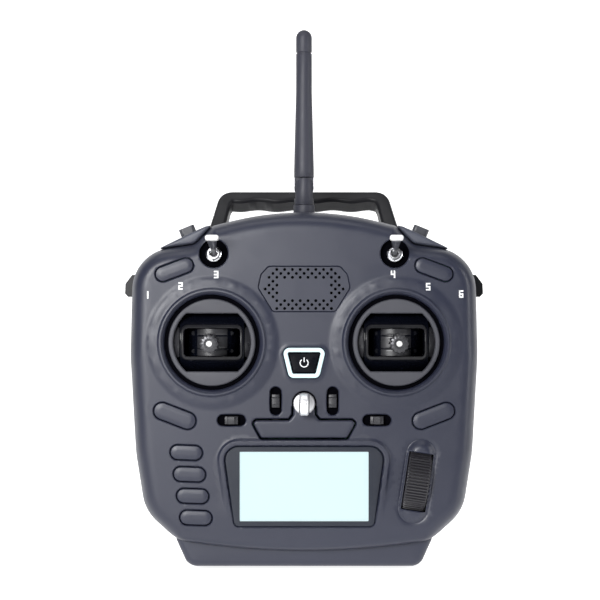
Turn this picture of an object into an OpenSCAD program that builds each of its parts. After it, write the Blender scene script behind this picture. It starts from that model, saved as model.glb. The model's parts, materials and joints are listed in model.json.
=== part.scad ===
// Hand-held radio control transmitter: two-piece case, two gimbals, toggles, push buttons,
// trims, side levers, scroll wheel, screen, folding antenna, carry handle and rear bays.
// X is to the right, Y points to the rear and Z is up. The origin is the centre of the base face.

/* [Body] */
// Width of the case
body_w = 154; // [150:1:190]
// Height of the case at the top of its arch
body_h = 158; // [154:1:190]
// Distance from the base centre plane to the front face
face_depth = 24; // [23:0.5:30]
// Distance from the base centre plane to the rear face of the grips
back_depth = 22; // [21:0.5:28]
// Distance from the base centre plane to the rear face of the battery and module block
block_depth = 28; // [27.5:0.5:34]
// Thickness of the case walls
wall = 2.5; // [2:0.1:3]
// Depth of the foot under the case
base_depth = 36; // [30:1:38]
// Width of the flat base face
base_w = 94; // [80:1:104]

/* [Sticks] */
// Radius of the gimbal opening in the front shell
gimbal_hole_r = 21.9; // [21.8:0.1:23]
// Radius of the rotating yoke drum
drum_r = 14.5; // [14:0.1:14.6]
// Length of a stick from its pivot to its tip
stick_l = 39; // [32:1:48]
// Radius of the stick ends
stick_end_r = 4.1; // [3:0.1:6]
// Radius of the stick shafts
shaft_r = 2; // [1.5:0.1:2.5]

/* [Buttons] */
// Length of the upper side buttons
side_button_l = 17; // [14:0.2:19]
// Length of the page buttons
page_button_l = 19; // [14:0.2:22]
// Length of the menu buttons
menu_button_l = 13.8; // [10:0.2:17]
// Width of the page buttons
page_button_w = 7.2; // [6:0.1:9]
// Width of the menu buttons
menu_button_w = 6.2; // [5:0.1:8]
// Travel of a push button
button_travel = 1; // [0.5:0.1:1.2]
// Height of a button above the face
button_proud = 1.4; // [1.2:0.1:3]

/* [Screen] */
// Width of the screen lens along its top edge
lens_w = 70.8; // [66:0.2:76]
// Height of the screen lens
lens_h = 35; // [33:0.5:37]
// Width of the visible display
display_w = 56.2; // [50:0.2:58]
// Height of the visible display
display_h = 30.3; // [26:0.1:31]

/* [Scroll wheel] */
// Radius of the scroll wheel
wheel_r = 15; // [14:0.1:15.2]
// Width of the scroll wheel
wheel_w = 10; // [8:0.1:10.6]

/* [Antenna] */
// Length of the antenna whip beyond its knuckle
whip_l = 66.8; // [50:0.2:90]
// Radius of the whip at its foot
whip_r = 4.5; // [4:0.1:5]
// Radius of the whip towards its tip
whip_tip_r = 3.6; // [3:0.1:4]

/* [Handle] */
// Half-width of the carry handle at its feet
handle_half_w = 48.5; // [47:0.5:52]
// Length of the carry handle from its feet to its top
handle_l = 41; // [34:1:52]
// Lean of the carry handle to the rear
handle_lean = 38; // [30:1:45]
// Thickness of the carry handle
handle_t = 9; // [7:0.5:11]

/* [Strap hook] */
// Radius of the hole in the strap hook
strap_bore_r = 2.3; // [1.8:0.1:2.6]
// Width of the lug of the strap hook
strap_lug_w = 3.8; // [3:0.1:5]

/* [Hidden] */
$fn = 48;
gap = 0.25;
pin_gap = 0.05;
cut = 1;

// Planes along Y
face_y = -face_depth;
inner_y = face_y + wall;
seam_y = -6;
board_y = 3;
board_t = 1.6;
key_board_y = -9;

// Case outline, as [x, z, corner radius] on the right side, from the bottom to the shoulder
half_w = body_w / 2;
shoulder_x = half_w - 36.5;
shoulder_z = body_h - 5.8;
arch_z = body_h + 4.3;
arch_slope = atan2(arch_z - shoulder_z, shoulder_x);
belly_x = half_w - 19.5;
belly_z = 14.2;
belly_drop = 9;
belly_slope = atan2(belly_drop, belly_x);
side_corners = [
    [belly_x, belly_z, 4],
    [half_w - 6.5, 26, 20],
    [half_w - 2.4, 52, 60],
    [half_w, 95, 100],
    [half_w - 1.2, body_h - 17.8, 19],
    [shoulder_x + 8, body_h - 14, 5],
    [shoulder_x, shoulder_z, 2]
];
case_corners = concat(
    [[0, belly_z - belly_drop, (belly_x - 4.5) / sin(belly_slope)]],
    side_corners,
    [[0, arch_z, (shoulder_x - 8) / sin(arch_slope)]],
    mirrored(side_corners)
);

// Front features
gimbal_x = half_w - 36.8;
gimbal_z = body_h - 57.3;
gimbal_y = face_y + drum_r;
gimbal_frame_r = 22.5;
gimbal_rim_r = 24.5;
gimbal_ears = [45, 135, 225, 315];
gimbal_ear_x = 25.5;
drum_half_l = 14;
slot_half_x = 12.25;
slot_half_z = 6.3;
block_r = 11.5;
block_half_h = 6;
yoke_pin_r = 2.5;
stick_pin_r = 2;
toggle_x = half_w - 37.5;
toggle_z = body_h - 18.5;
toggle_tilt = 10;
toggle_up = 13;
recess_r = 6.3;
recess_depth = 3;
bush_r = 2.6;
bush_bore_r = 2;
nut_r = 3.9;
shoulder_toggle_x = half_w - 26.3;
shoulder_toggle_z = body_h - 12;
shoulder_toggle_y = 3;
shoulder_tilt = 22;
side_button_x = half_w - 20.4;
side_button_z = body_h - 25.6;
side_button_w = 6.3;
side_button_tilt = 20.5;
page_button_x = half_w - 20.6;
page_button_z = 68.7;
page_button_tilt = 21;
menu_button_x = half_w - 25.6;
menu_button_z = 52.7;
menu_pitch = 9.47;
menu_lean = 1.4;
menu_tilt = 2;
flange = 0.8;
flange_t = 1.2;
stem_r = 1.6;
switch_size = 6;
switch_h = 3.5;
plunger_h = 1.4;
grille_z = body_h - 34;
grille_t = 1.2;
grille_hole_r = 0.65;
grille_pitch = 3.4;
speaker_r = 14.5;
power_z = gimbal_z - 8.9;
ring_top_w = 19.3;
ring_bottom_w = 13;
ring_h = 13.1;
ring_band = 2.2;
hook_z = gimbal_z - 26.6;
hook_r = 4.8;
lug_reach = 6.4;
plate_t = 0.8;
plate_top_z = 66.8;
plate_bottom_z = 59.1;
trim_v_x = 12.4;
trim_v_z = gimbal_z - 25.5;
trim_h_x = gimbal_x - 8.5;
trim_h_z = 66.8;
trim_slot_l = 12.4;
trim_slot_w = 5;
trim_knob_l = 6;
trim_knob_w = 3.6;
lens_z = 37.9;
lens_taper = 4.9;
lens_t = 1.1;
display_z = 37.8;
wheel_x = half_w - 27.7;
wheel_z = 40.1;
wheel_tilt = 8.6;
wheel_y = face_y + 9.8;
wheel_slot_w = wheel_w + 2;
wheel_slot_h = 25.3;
axle_r = 1.5;
bracket_gap = 0.5;

// Side levers
slider_x = half_w - 19;
slider_y = 2;
slider_z = body_h - 32.5;
slider_reach = 22;
pot_y = 5.5;
pot_l = 8;
pot_r = 6.5;

// Antenna
antenna_y = 8;
collar_z = body_h - 0.3;
knuckle_z = collar_z + 4.6;
fold_z = knuckle_z + 7.6;
knuckle_r = 4.4;
fold_pin_r = 1.6;
tongue_half = 1.85;
whip_z = fold_z + 4.9;

// Rear block, battery bay and module bay
block_x = 38;
block_top_z = body_h - 24;
battery_x = 35.5;
battery_z0 = 8;
battery_z1 = 50;
battery_floor_y = 6.5;
bay_x = 30;
bay_z0 = 58;
bay_z1 = body_h - 30;
bay_floor_y = 14;
lid_t = 2;
door_hinge_z = battery_z0 + 2;
door_hinge_r = 1.6;
door_pin_r = 0.8;
door_hinge_y = block_depth - door_hinge_r;
cell_r = 9.2;
cell_l = 65;
screw_spots = [[half_w - 15, 34], [half_w - 11, 88], [28, body_h - 15]];
board_spots = [[28, 54.8], [28, 72]];
key_boss_x = 11;
screw_r = 1.5;
head_r = 3;

// Carry handle
handle_foot_y = back_depth + 2;
handle_foot_z = body_h - 22;
handle_bar = 5.5;
handle_leg = 8.4;
handle_taper = 9;
pad_t = 5;
pad_x = half_w - 33.2;
pad_screw_z = [handle_foot_z - 12, handle_foot_z - 4];

function flipped(corner) = [-corner[0], corner[1], corner[2]];
function mirrored(corners) = [for (i = [len(corners) - 1:-1:0]) flipped(corners[i])];
function spot(corner) = [corner[0], corner[1]];
function unit(v) = v / norm(v);
function inward(a, b) = let (d = unit(b - a)) [-d.y, d.x];
function turn(a, v, b) = let (d = v - a, e = b - v) atan2(d.x * e.y - d.y * e.x, d * e);

// Corner v moved inwards by the same distance from both of its edges
function moved(a, v, b, distance) =
    let (n = inward(a, v), m = inward(v, b))
    v + distance * (n + m) / (1 + n * m);

// Points of the arc that rounds corner v
function corner_arc(a, v, b, r) =
    let (
        bend = turn(a, v, b),
        steps = ceil(abs(bend) / (r > 50 ? 4 : 14)),
        side = sign(bend),
        n = side * inward(a, v),
        back = r * tan(abs(bend) / 2),
        centre = v - back * unit(v - a) + r * n,
        from = atan2(-n.y, -n.x)
    )
    [for (i = [0:steps]) centre + r * [cos(from + bend * i / steps), sin(from + bend * i / steps)]];

// Closed outline with rounded corners, drawn inside the given one by a distance
function outline(corners, distance = 0) =
    let (count = len(corners), p = [for (c = corners) spot(c)])
    let (q = [for (i = [0:count - 1])
        moved(p[(i + count - 1) % count], p[i], p[(i + 1) % count], distance)])
    [for (i = [0:count - 1])
        let (
            a = q[(i + count - 1) % count],
            b = q[(i + 1) % count],
            hollow = turn(a, q[i], b) < 0,
            r = max(0.3, corners[i][2] + (hollow ? distance : -distance))
        )
        each corner_arc(a, q[i], b, r)];

// Solid through outlines, given as [y, distance drawn inside] from front to back
module loft(corners, sections) {
    rings = [for (s = sections) [for (p = outline(corners, s[1])) [p.x, s[0], p.y]]];
    count = len(rings[0]);
    last = len(rings) - 1;
    sides = [
        for (i = [0:last - 1], k = [0:count - 1])
        let (a = i * count + k, b = i * count + (k + 1) % count)
        each [[a, b, b + count], [a, b + count, a + count]]
    ];
    front = [[for (k = [count - 1:-1:0]) k]];
    back = [[for (k = [0:count - 1]) last * count + k]];
    polyhedron(points = [for (ring = rings) each ring], faces = concat(front, sides, back));
}

// Flat shape drawn in X and Z, given depth from y0 to y1
module along_y(y0, y1) {
    translate([0, y1, 0]) rotate([90, 0, 0]) linear_extrude(y1 - y0) children();
}

module rod_y(r, y0, y1) {
    translate([0, y1, 0]) rotate([90, 0, 0]) cylinder(r = r, h = y1 - y0);
}

module rod_x(r, x0, x1) {
    translate([x0, 0, 0]) rotate([0, 90, 0]) cylinder(r = r, h = x1 - x0);
}

// Shape with round ends, lying along X
module pill(l, w) {
    square([l - w, w], center = true);
    for (side = [-1, 1]) translate([side * (l - w) / 2, 0]) circle(d = w);
}

// Trapezoid with rounded corners, centred on the origin
module trapezoid(top, bottom, h, r, distance = 0) {
    right = [[bottom / 2, -h / 2, r], [top / 2, h / 2, r]];
    polygon(outline(concat(right, mirrored(right)), distance));
}

module box(x0, x1, y0, y1, z0, z1) {
    translate([x0, y0, z0]) cube([x1 - x0, y1 - y0, z1 - z0]);
}

module both_sides() {
    for (side = [-1, 1]) scale_x(side) children();
}

// Mirrors its children to the left side where side is -1
module scale_x(side) {
    mirror([side < 0 ? 1 : 0, 0, 0]) children();
}

// Places the children at the face of a front toggle, with +Z along its bush
module at_front_toggle(side) {
    translate([side * toggle_x, face_y, toggle_z]) rotate([90 - toggle_tilt, 0, 0]) children();
}

// Places the children on the wing of a shoulder toggle, with +Z along its bush
module at_shoulder_toggle(side) {
    translate([side * shoulder_toggle_x, shoulder_toggle_y, shoulder_toggle_z])
        rotate([0, side * shoulder_tilt, 0]) children();
}

module at_gimbal(side) {
    translate([side * gimbal_x, gimbal_y, gimbal_z]) children();
}

module at_side_button(side) {
    translate([side * side_button_x, 0, side_button_z]) rotate([0, side * side_button_tilt, 0]) children();
}

module at_wheel() {
    translate([wheel_x, wheel_y, wheel_z]) rotate([0, wheel_tilt, 0]) children();
}

// Moves a flat shape to a place on the face and tilts it
module place(x, z, tilt = 0) {
    translate([x, z]) rotate(tilt) children();
}

module side_button_shape(side, grow = 0) {
    place(side * side_button_x, side_button_z, -side * side_button_tilt)
        pill(side_button_l + 2 * grow, side_button_w + 2 * grow);
}

module page_button_shape(side, grow = 0) {
    place(side * page_button_x, page_button_z, side * page_button_tilt)
        pill(page_button_l + 2 * grow, page_button_w + 2 * grow);
}

module menu_button_shape(i, grow = 0) {
    place(-menu_button_x + menu_lean * i, menu_button_z - menu_pitch * i, -menu_tilt)
        pill(menu_button_l + 2 * grow, menu_button_w + 2 * grow);
}

module trim_shape(side, upright, l, w) {
    x = upright ? trim_v_x : trim_h_x;
    z = upright ? trim_v_z : trim_h_z;
    place(side * x, z, upright ? 90 : 0) pill(l, w);
}

module wheel_shape(w, h) {
    place(wheel_x, wheel_z, -wheel_tilt) square([w, h], center = true);
}

module lens_shape(distance = 0) {
    translate([0, lens_z]) trapezoid(lens_w, lens_w - 2 * lens_taper, lens_h, 5, distance);
}

module ring_shape(distance = 0) {
    translate([0, power_z]) trapezoid(ring_top_w, ring_bottom_w, ring_h, 3, distance);
}

// Six-sided outline of the speaker grille
module grille_shape(distance = 0) {
    right = [[13.5, -9.6, 1.5], [19.8, 0.6, 2.5], [18.6, 6.2, 2.5], [15.5, 9.6, 1.5]];
    translate([0, grille_z]) polygon(outline(concat(right, mirrored(right)), distance));
}

// Shapes that every push button needs, from its cap to the stem over its switch
module push_button(x, z, base_y) {
    stem_y = base_y - switch_h - plunger_h - button_travel - pin_gap;
    along_y(face_y - button_proud, inner_y + gap) children(0);
    along_y(inner_y + gap, inner_y + gap + flange_t) children(1);
    translate([x, 0, z]) rod_y(stem_r, inner_y + gap, stem_y);
}

module front_shell_solid() {
    loft(case_corners, [[face_y, 7], [face_y + 1, 4.4], [face_y + 3.5, 2], [face_y + 9, 0.7], [seam_y, 0]]);
    both_sides() translate([gimbal_x, 0, gimbal_z]) rod_y(gimbal_hole_r + 1.7, face_y - 1.2, face_y + 1);
}

module front_shell_cavity() {
    along_y(inner_y + 4, seam_y + cut) polygon(outline(case_corners, wall + 0.8));
    along_y(inner_y, inner_y + 4.1) polygon(outline(case_corners, wall + 3.2));
}

module front_shell_bosses() {
    for (side = [-1, 1]) at_front_toggle(side)
        translate([0, 0, -recess_depth - 2]) cylinder(r = recess_r + 1.2, h = 3.4);
    for (side = [-1, 1], s = screw_spots) translate([side * s.x, 0, s.y]) rod_y(4, inner_y - 0.1, seam_y);
    for (side = [-1, 1], dx = [-key_boss_x, key_boss_x])
        at_side_button(side) translate([dx, 0, 0]) rod_y(1.4, inner_y - 0.1, key_board_y);
}

module front_shell_openings() {
    both_sides() translate([gimbal_x, 0, gimbal_z]) rod_y(gimbal_hole_r, face_y - 3, inner_y + cut);
    for (side = [-1, 1]) at_front_toggle(side) {
        translate([0, 0, -recess_depth]) cylinder(r = recess_r, h = 12);
        translate([-4.7, -3.8, -recess_depth - 12]) cube([9.4, 7.6, 10]);
        translate([0, 0, -12]) cylinder(r = bush_r + 0.1, h = 12);
    }
    along_y(face_y - 3, inner_y + cut) {
        for (side = [-1, 1]) {
            side_button_shape(side, gap);
            page_button_shape(side, gap);
            trim_shape(side, true, trim_slot_l, trim_slot_w);
            trim_shape(side, false, trim_slot_l, trim_slot_w);
        }
        for (i = [0:3]) menu_button_shape(i, gap);
        wheel_shape(wheel_slot_w, wheel_slot_h);
        lens_shape(2.2);
        grille_shape(1.4);
        ring_shape(-0.05);
    }
    along_y(inner_y, inner_y + 4.1) for (side = [-1, 1]) side_button_shape(side, flange + 0.4);
    along_y(face_y + 0.8, inner_y + cut) wheel_shape(wheel_slot_w, 2 * wheel_r - 2.2);
    along_y(face_y - 3, face_y + lens_t) lens_shape(-0.15);
    along_y(face_y - 3, face_y + grille_t) grille_shape(-0.1);
    translate([0, 0, hook_z]) rod_y(2.5, face_y - 3, inner_y + cut);
    for (side = [-1, 1], s = screw_spots)
        translate([side * s.x, 0, s.y]) rod_y(screw_r + 0.05, -15, seam_y + cut);
    for (side = [-1, 1], a = gimbal_ears) at_gimbal(side) rotate([0, a, 0]) translate([gimbal_ear_x, 0, 0])
        rod_y(0.95, inner_y - gimbal_y - 1.8, inner_y - gimbal_y + cut);
}

module front_shell() {
    color("#2b2e33") difference() {
        union() {
            difference() {
                front_shell_solid();
                front_shell_cavity();
            }
            intersection() {
                front_shell_bosses();
                along_y(face_y, board_y) polygon(outline(case_corners, 1.5));
            }
        }
        front_shell_openings();
    }
}

// Slot in the side wall for a side lever
module slider_slot(side) {
    scale_x(side) box(slider_x + 8, half_w + 6, slider_y - 2.2, slider_y + 2.2, slider_z - 15, slider_z + 13);
}

// Foot under the case, with its lower edges rounded off at the front and the rear
module foot() {
    right = [[base_w / 2 + 3.9, 0, 6], [base_w / 2 + 11.3, belly_z + 4, 5]];
    front = -base_depth / 2;
    rounding = [[0, 3.4], [0.9, 1.7], [2.6, 0.5], [5, 0]];
    ends = concat(
        [for (s = rounding) [front + s[0], s[1]]],
        [for (i = [3:-1:1]) [-front - rounding[i][0], rounding[i][1]]]
    );
    loft(concat(right, mirrored(right)), ends);
}

// Outer shape of the raised block behind the grips
module block_shape(distance = 0) {
    right = [[block_x - 2, 2.5, 3], [block_x, 40, 20], [block_x - 1, block_top_z, 5]];
    polygon(outline(concat(right, mirrored(right)), distance));
}

module rear_shell_solid() {
    loft(
        case_corners,
        [[seam_y, 0], [8, 0.8], [back_depth - 5, 3.2], [back_depth - 1.5, 5.6], [back_depth, 8]]
    );
    difference() {
        foot();
        along_y(face_y, seam_y) polygon(outline(case_corners, -0.3));
    }
    along_y(10, block_depth - 1.5) block_shape();
    along_y(block_depth - 1.6, block_depth) block_shape(1.5);
}

module rear_shell_cavity() {
    along_y(seam_y - cut, 14) polygon(outline(case_corners, wall + 1));
    along_y(13.9, back_depth - wall) polygon(outline(case_corners, wall + 6));
    box(-base_w / 2 + 1, base_w / 2 - 1, wall - base_depth / 2, 3, wall, 6);
    box(-base_w / 2 + 1, base_w / 2 - 1, seam_y + 0.5, 3, wall, 20);
}

module rear_shell_bosses() {
    for (side = [-1, 1]) {
        for (s = screw_spots) translate([side * s.x, 0, s.y]) rod_y(4, seam_y, back_depth - 1);
        translate([side * slider_x, 0, slider_z]) rod_y(4, pot_y + pot_l, back_depth - 1);
        for (s = board_spots) translate([side * s.x, 0, s.y]) rod_y(3, board_y + board_t, 13);
        for (z = pad_screw_z) translate([side * pad_x, 0, z]) rod_y(3, 12, back_depth - 1);
    }
    box(-battery_x - wall, battery_x + wall, battery_floor_y - 1.5, block_depth - 2, 5, battery_z1 + wall);
    box(-bay_x - 2, bay_x + 2, bay_floor_y - 2, block_depth - 2, bay_z0 - 2, bay_z1 + 2);
}

module rear_shell_openings() {
    box(-battery_x, battery_x, battery_floor_y, block_depth + cut, battery_z0, battery_z1);
    translate([0, door_hinge_y, door_hinge_z]) rod_x(door_pin_r + pin_gap, -battery_x - 1.6, battery_x + 1.6);
    box(-bay_x, bay_x, bay_floor_y, block_depth + cut, bay_z0, bay_z1);
    translate([0, antenna_y, body_h - 12]) cylinder(r = 3.3, h = 20);
    translate([-20, antenna_y, body_h - 12]) usb_shape(12, 4.5, 20);
    translate([20, antenna_y, body_h - 12]) cylinder(r = 3.2, h = 20);
    for (side = [-1, 1]) {
        slider_slot(side);
        for (s = board_spots) translate([side * s.x, 0, s.y]) rod_y(1.05, board_y, 11.5);
        for (s = screw_spots) translate([side * s.x, 0, s.y]) {
            rod_y(screw_r + 0.1, seam_y - cut, back_depth + cut);
            rod_y(head_r + 0.2, back_depth - 4, back_depth + cut);
        }
        for (z = pad_screw_z) translate([side * pad_x, 0, z]) rod_y(screw_r + 0.05, 13, back_depth + cut);
        at_shoulder_toggle(side) translate([0, 0, -12]) cylinder(r = bush_r + 0.1, h = 14);
    }
}

module rear_shell() {
    color("#26282c") difference() {
        union() {
            difference() {
                rear_shell_solid();
                rear_shell_cavity();
            }
            intersection() {
                rear_shell_bosses();
                union() {
                    along_y(seam_y, back_depth) polygon(outline(case_corners, 1.5));
                    along_y(back_depth - 1, block_depth - 0.5) block_shape(1);
                }
            }
        }
        rear_shell_openings();
    }
}

module at_handle() {
    translate([0, handle_foot_y, handle_foot_z]) rotate([-handle_lean, 0, 0]) children();
}

module handle() {
    top_half_w = handle_half_w - handle_taper;
    inner_w = handle_half_w - handle_leg;
    outer_right = [[handle_half_w, 2, 1], [top_half_w, handle_l, 7]];
    inner_right = [[inner_w, 0, 1], [inner_w - 6, handle_l - handle_bar, 3]];
    color("#1b1c1f") difference() {
        union() {
            at_handle() along_y(-handle_t / 2, handle_t / 2) difference() {
                polygon(outline(concat(outer_right, mirrored(outer_right))));
                polygon(outline(concat(inner_right, mirrored(inner_right))));
            }
            both_sides() box(
                block_x + 0.6, handle_half_w + 0.4, back_depth, back_depth + pad_t,
                handle_foot_z - 16, handle_foot_z + 7
            );
        }
        box(-half_w, half_w, 0, back_depth, 0, handle_foot_z + 20);
        for (side = [-1, 1], z = pad_screw_z) translate([side * pad_x, 0, z]) {
            rod_y(screw_r + 0.1, back_depth - 1, back_depth + pad_t + cut);
            rod_y(head_r + 0.1, back_depth + pad_t - 1.6, back_depth + pad_t + cut);
        }
    }
}

module handle_screws() {
    seat = back_depth + pad_t - 1.6;
    color("#44474c") for (side = [-1, 1], z = pad_screw_z) translate([side * pad_x, 0, z]) {
        rod_y(screw_r, 14, seat + 0.1);
        screw_head(seat, 1.5);
    }
}

// Round screw head with a cross recess, facing the rear
module screw_head(y, h) {
    difference() {
        rod_y(head_r, y, y + h);
        for (a = [0, 90]) translate([0, y + h, 0]) rotate([0, a, 0]) cube([3.2, 1.4, 0.7], center = true);
    }
}

module case_screws() {
    color("#44474c") for (side = [-1, 1], s = screw_spots) translate([side * s.x, 0, s.y]) {
        rod_y(screw_r, -14, back_depth - 3.9);
        screw_head(back_depth - 4, 1.6);
    }
}

module rubber_grips() {
    right = [
        [half_w - 27, 41, 2], [half_w - 17.5, 46, 7], [half_w - 16, 98, 30],
        [half_w - 18.5, 118, 4], [half_w - 27, 118, 3]
    ];
    color("#17181a") both_sides() along_y(back_depth, back_depth + 1.6) polygon(outline(right));
}

// Wedge that covers each shoulder, from the case corner up to the wing line
module shoulder_panels() {
    wing_slope = 0.47;
    x0 = shoulder_x + 1.2;
    x1 = half_w - 13.5;
    z_wing = shoulder_z + 0.3;
    wedge = [
        [x0, shoulder_z - 10], [x1, shoulder_z - 22],
        [x1, z_wing - wing_slope * (x1 - x0)], [x0, z_wing]
    ];
    color("#202226") both_sides() difference() {
        along_y(-15, 14) polygon(wedge);
        along_y(-16, 15) polygon(outline(case_corners, -0.02));
        at_shoulder_toggle(1) {
            translate([0, 0, -12]) cylinder(r = bush_r + 0.1, h = 14);
            translate([0, 0, -1.2]) cylinder(r = 5.6, h = 8);
        }
    }
}

module speaker_grille() {
    rows = 11;
    color("#1d1f22") difference() {
        along_y(face_y, face_y + grille_t) grille_shape();
        for (row = [0:rows - 1], i = [-6:6]) grille_hole(i, row - (rows - 1) / 2);
    }
}

// One hole of the grille, left out near the rim and over the plain centre
module grille_hole(i, row) {
    x = (i + (row % 2 == 0 ? 0 : 0.5)) * grille_pitch;
    z = row * grille_pitch / 2;
    reach = z > 0 ? 17.6 - 0.35 * z : 17.6 + 0.6 * z;
    plain = abs(x) < 11 && abs(z) < 4.2;
    if (abs(x) < reach && abs(z) < 8.6 && !plain)
        translate([x, 0, grille_z + z]) rod_y(grille_hole_r, face_y - cut, face_y + grille_t + cut);
}

module speaker() {
    color("#3a3d42") translate([0, 0, grille_z]) difference() {
        union() {
            rod_y(speaker_r, inner_y, inner_y + 2);
            rod_y(speaker_r - 3, inner_y + 1.9, inner_y + 7);
        }
        rod_y(speaker_r - 2, inner_y - cut, inner_y + 1);
    }
}

module screen_lens() {
    color("#0e1013") along_y(face_y, face_y + lens_t) lens_shape();
}

module lcd_module() {
    color("#cfe3e8") difference() {
        along_y(inner_y, inner_y + 4.5) translate([0, display_z + 0.5]) square([72, 38.6], center = true);
        along_y(inner_y - cut, inner_y + 0.4)
            translate([0, display_z]) square([display_w, display_h], center = true);
    }
}

module label_plate() {
    right = [
        [18.7, plate_bottom_z, 1], [22.2, plate_top_z - 1.5, 0.8], [20.5, plate_top_z, 0.8],
        [5.4, plate_top_z, 0.6], [4.6, plate_top_z + 1.2, 0.6], [4.6, hook_z - hook_r - 0.15, 0.3]
    ];
    color("#0b0c0d") along_y(face_y - plate_t, face_y) polygon(outline(concat(right, mirrored(right))));
}

module strap_hook() {
    lug_half = strap_bore_r + 2.3;
    color("#c9ccd0") translate([0, 0, hook_z]) {
        difference() {
            union() {
                rod_y(hook_r, face_y - 1.6, face_y);
                translate([0, face_y - lug_reach, 0]) rod_x(lug_half, -strap_lug_w / 2, strap_lug_w / 2);
                box(-strap_lug_w / 2, strap_lug_w / 2, face_y - lug_reach, face_y - 1.5, -lug_half, lug_half);
                rod_y(2.4, face_y - 0.1, face_y + 8);
            }
            translate([0, face_y - lug_reach, 0]) rod_x(strap_bore_r, -strap_lug_w, strap_lug_w);
        }
        difference() {
            translate([0, inner_y + 2.4, 0]) rotate([90, 0, 0]) cylinder(r = 4.6, h = 2.4, $fn = 6);
            rod_y(2.45, inner_y - cut, inner_y + 4);
        }
    }
}

module power_light_ring() {
    color("#e9fbff") difference() {
        union() {
            along_y(face_y - 0.6, inner_y) ring_shape();
            along_y(inner_y, inner_y + 1.2) ring_shape(-1.5);
        }
        along_y(face_y - 2, inner_y + 3) ring_shape(ring_band);
    }
}

module power_button() {
    stem_y = board_y - switch_h - plunger_h - button_travel - pin_gap;
    color("#131416") {
        along_y(face_y - 0.6, inner_y + 3) ring_shape(ring_band + 0.2);
        along_y(inner_y + 1.2 + gap, inner_y + 3) ring_shape(0.8);
        translate([0, 0, power_z]) rod_y(stem_r, inner_y + 2.9, stem_y);
    }
}

module board_hole(x, z, r) {
    translate([x, 0, z]) rod_y(r, board_y - 3, board_y + board_t + cut);
}

module circuit_boards() {
    color("#1f5a35") {
        difference() {
            box(-half_w + 16, half_w - 16, board_y, board_y + board_t, 24, 77);
            for (side = [-1, 1], s = board_spots) board_hole(side * s.x, s.y, 1.1);
            for (side = [-1, 1]) board_hole(side * screw_spots[0].x, screw_spots[0].y, 4.5);
        }
        for (side = [-1, 1]) at_side_button(side)
            box(-key_boss_x - 1.4, key_boss_x + 1.4, key_board_y, key_board_y + board_t, -4, 4);
    }
}

module board_screws() {
    color("#b7babf") for (side = [-1, 1], s = board_spots) translate([side * s.x, 0, s.y]) {
        rod_y(1, board_y - 0.1, 11);
        rod_y(2, board_y - 1.4, board_y);
    }
}

// Switch under a push button, standing on a board whose front is at base_y
module tact_switch(base_y) {
    box(-switch_size / 2, switch_size / 2, base_y - switch_h, base_y, -switch_size / 2, switch_size / 2);
    rod_y(1.7, base_y - switch_h - plunger_h, base_y - switch_h + 0.1);
}

module tact_switches() {
    color("#2f3135") {
        for (side = [-1, 1]) {
            at_side_button(side) tact_switch(key_board_y);
            translate([side * page_button_x, 0, page_button_z]) tact_switch(board_y);
        }
        for (i = [0:3]) translate([-menu_button_x + menu_lean * i, 0, menu_button_z - menu_pitch * i])
            tact_switch(board_y);
        translate([0, 0, power_z]) power_switch();
    }
}

// The power switch sits on a bracket that rises from the board
module power_switch() {
    tact_switch(board_y);
    box(-5, 5, board_y, board_y + board_t, 77 - power_z, 4);
}

// Toggle body, bush and the bore that its lever leans in. The lever pivots at the origin and
// the body is seated under the wall at the given depth
module toggle_body(seat) {
    difference() {
        union() {
            translate([-4.4, -3.5, -seat - 9.6]) cube([8.8, 7, 9.6]);
            translate([0, 0, -seat - 0.1]) cylinder(r = bush_r, h = seat + 1.1);
        }
        translate([0, 0, -3]) cylinder(r = bush_bore_r, h = 8);
    }
}

module toggle_bodies() {
    color("#b9bcc1") for (side = [-1, 1]) {
        at_front_toggle(side) toggle_body(recess_depth + 2);
        at_shoulder_toggle(side) translate([0, 0, -1]) toggle_body(7.2);
    }
}

module toggle_nut(z) {
    translate([0, 0, z]) difference() {
        cylinder(r = nut_r, h = 1.8, $fn = 6);
        translate([0, 0, -cut]) cylinder(r = bush_r + 0.05, h = 4);
    }
}

module toggle_nuts() {
    color("#a9acb1") for (side = [-1, 1]) {
        at_front_toggle(side) toggle_nut(-recess_depth);
        at_shoulder_toggle(side) toggle_nut(-1.2);
    }
}

// Lever pivoting at the origin and pointing along +Z. It widens to a flat cap
module toggle_lever(l, cap_w, cap_t, cap_l) {
    sphere(r = bush_bore_r - 0.4);
    cylinder(r = 1, h = l - cap_l);
    neck = cap_w / 2 - 1;
    top = l - cap_l + 0.1;
    along_y(-1, 1) polygon([[-1, 2.5], [1, 2.5], [neck, top], [-neck, top]]);
    translate([0, 0, l - cap_l]) linear_extrude(cap_l) pill(cap_w, cap_t);
}

module front_lever(side) {
    color("#dfe1e4") at_front_toggle(side) rotate([-toggle_up, 0, 0]) toggle_lever(17, 5.9, 2.3, 2);
}

module shoulder_lever(side) {
    color("#3b3d42") at_shoulder_toggle(side) translate([0, 0, -1]) toggle_lever(7.4, 7.2, 3.2, 3.6);
}

module toggle_lever_b() {
    front_lever(-1);
}

module toggle_lever_c() {
    front_lever(1);
}

module toggle_lever_e() {
    shoulder_lever(-1);
}

module toggle_lever_f() {
    shoulder_lever(1);
}

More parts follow.
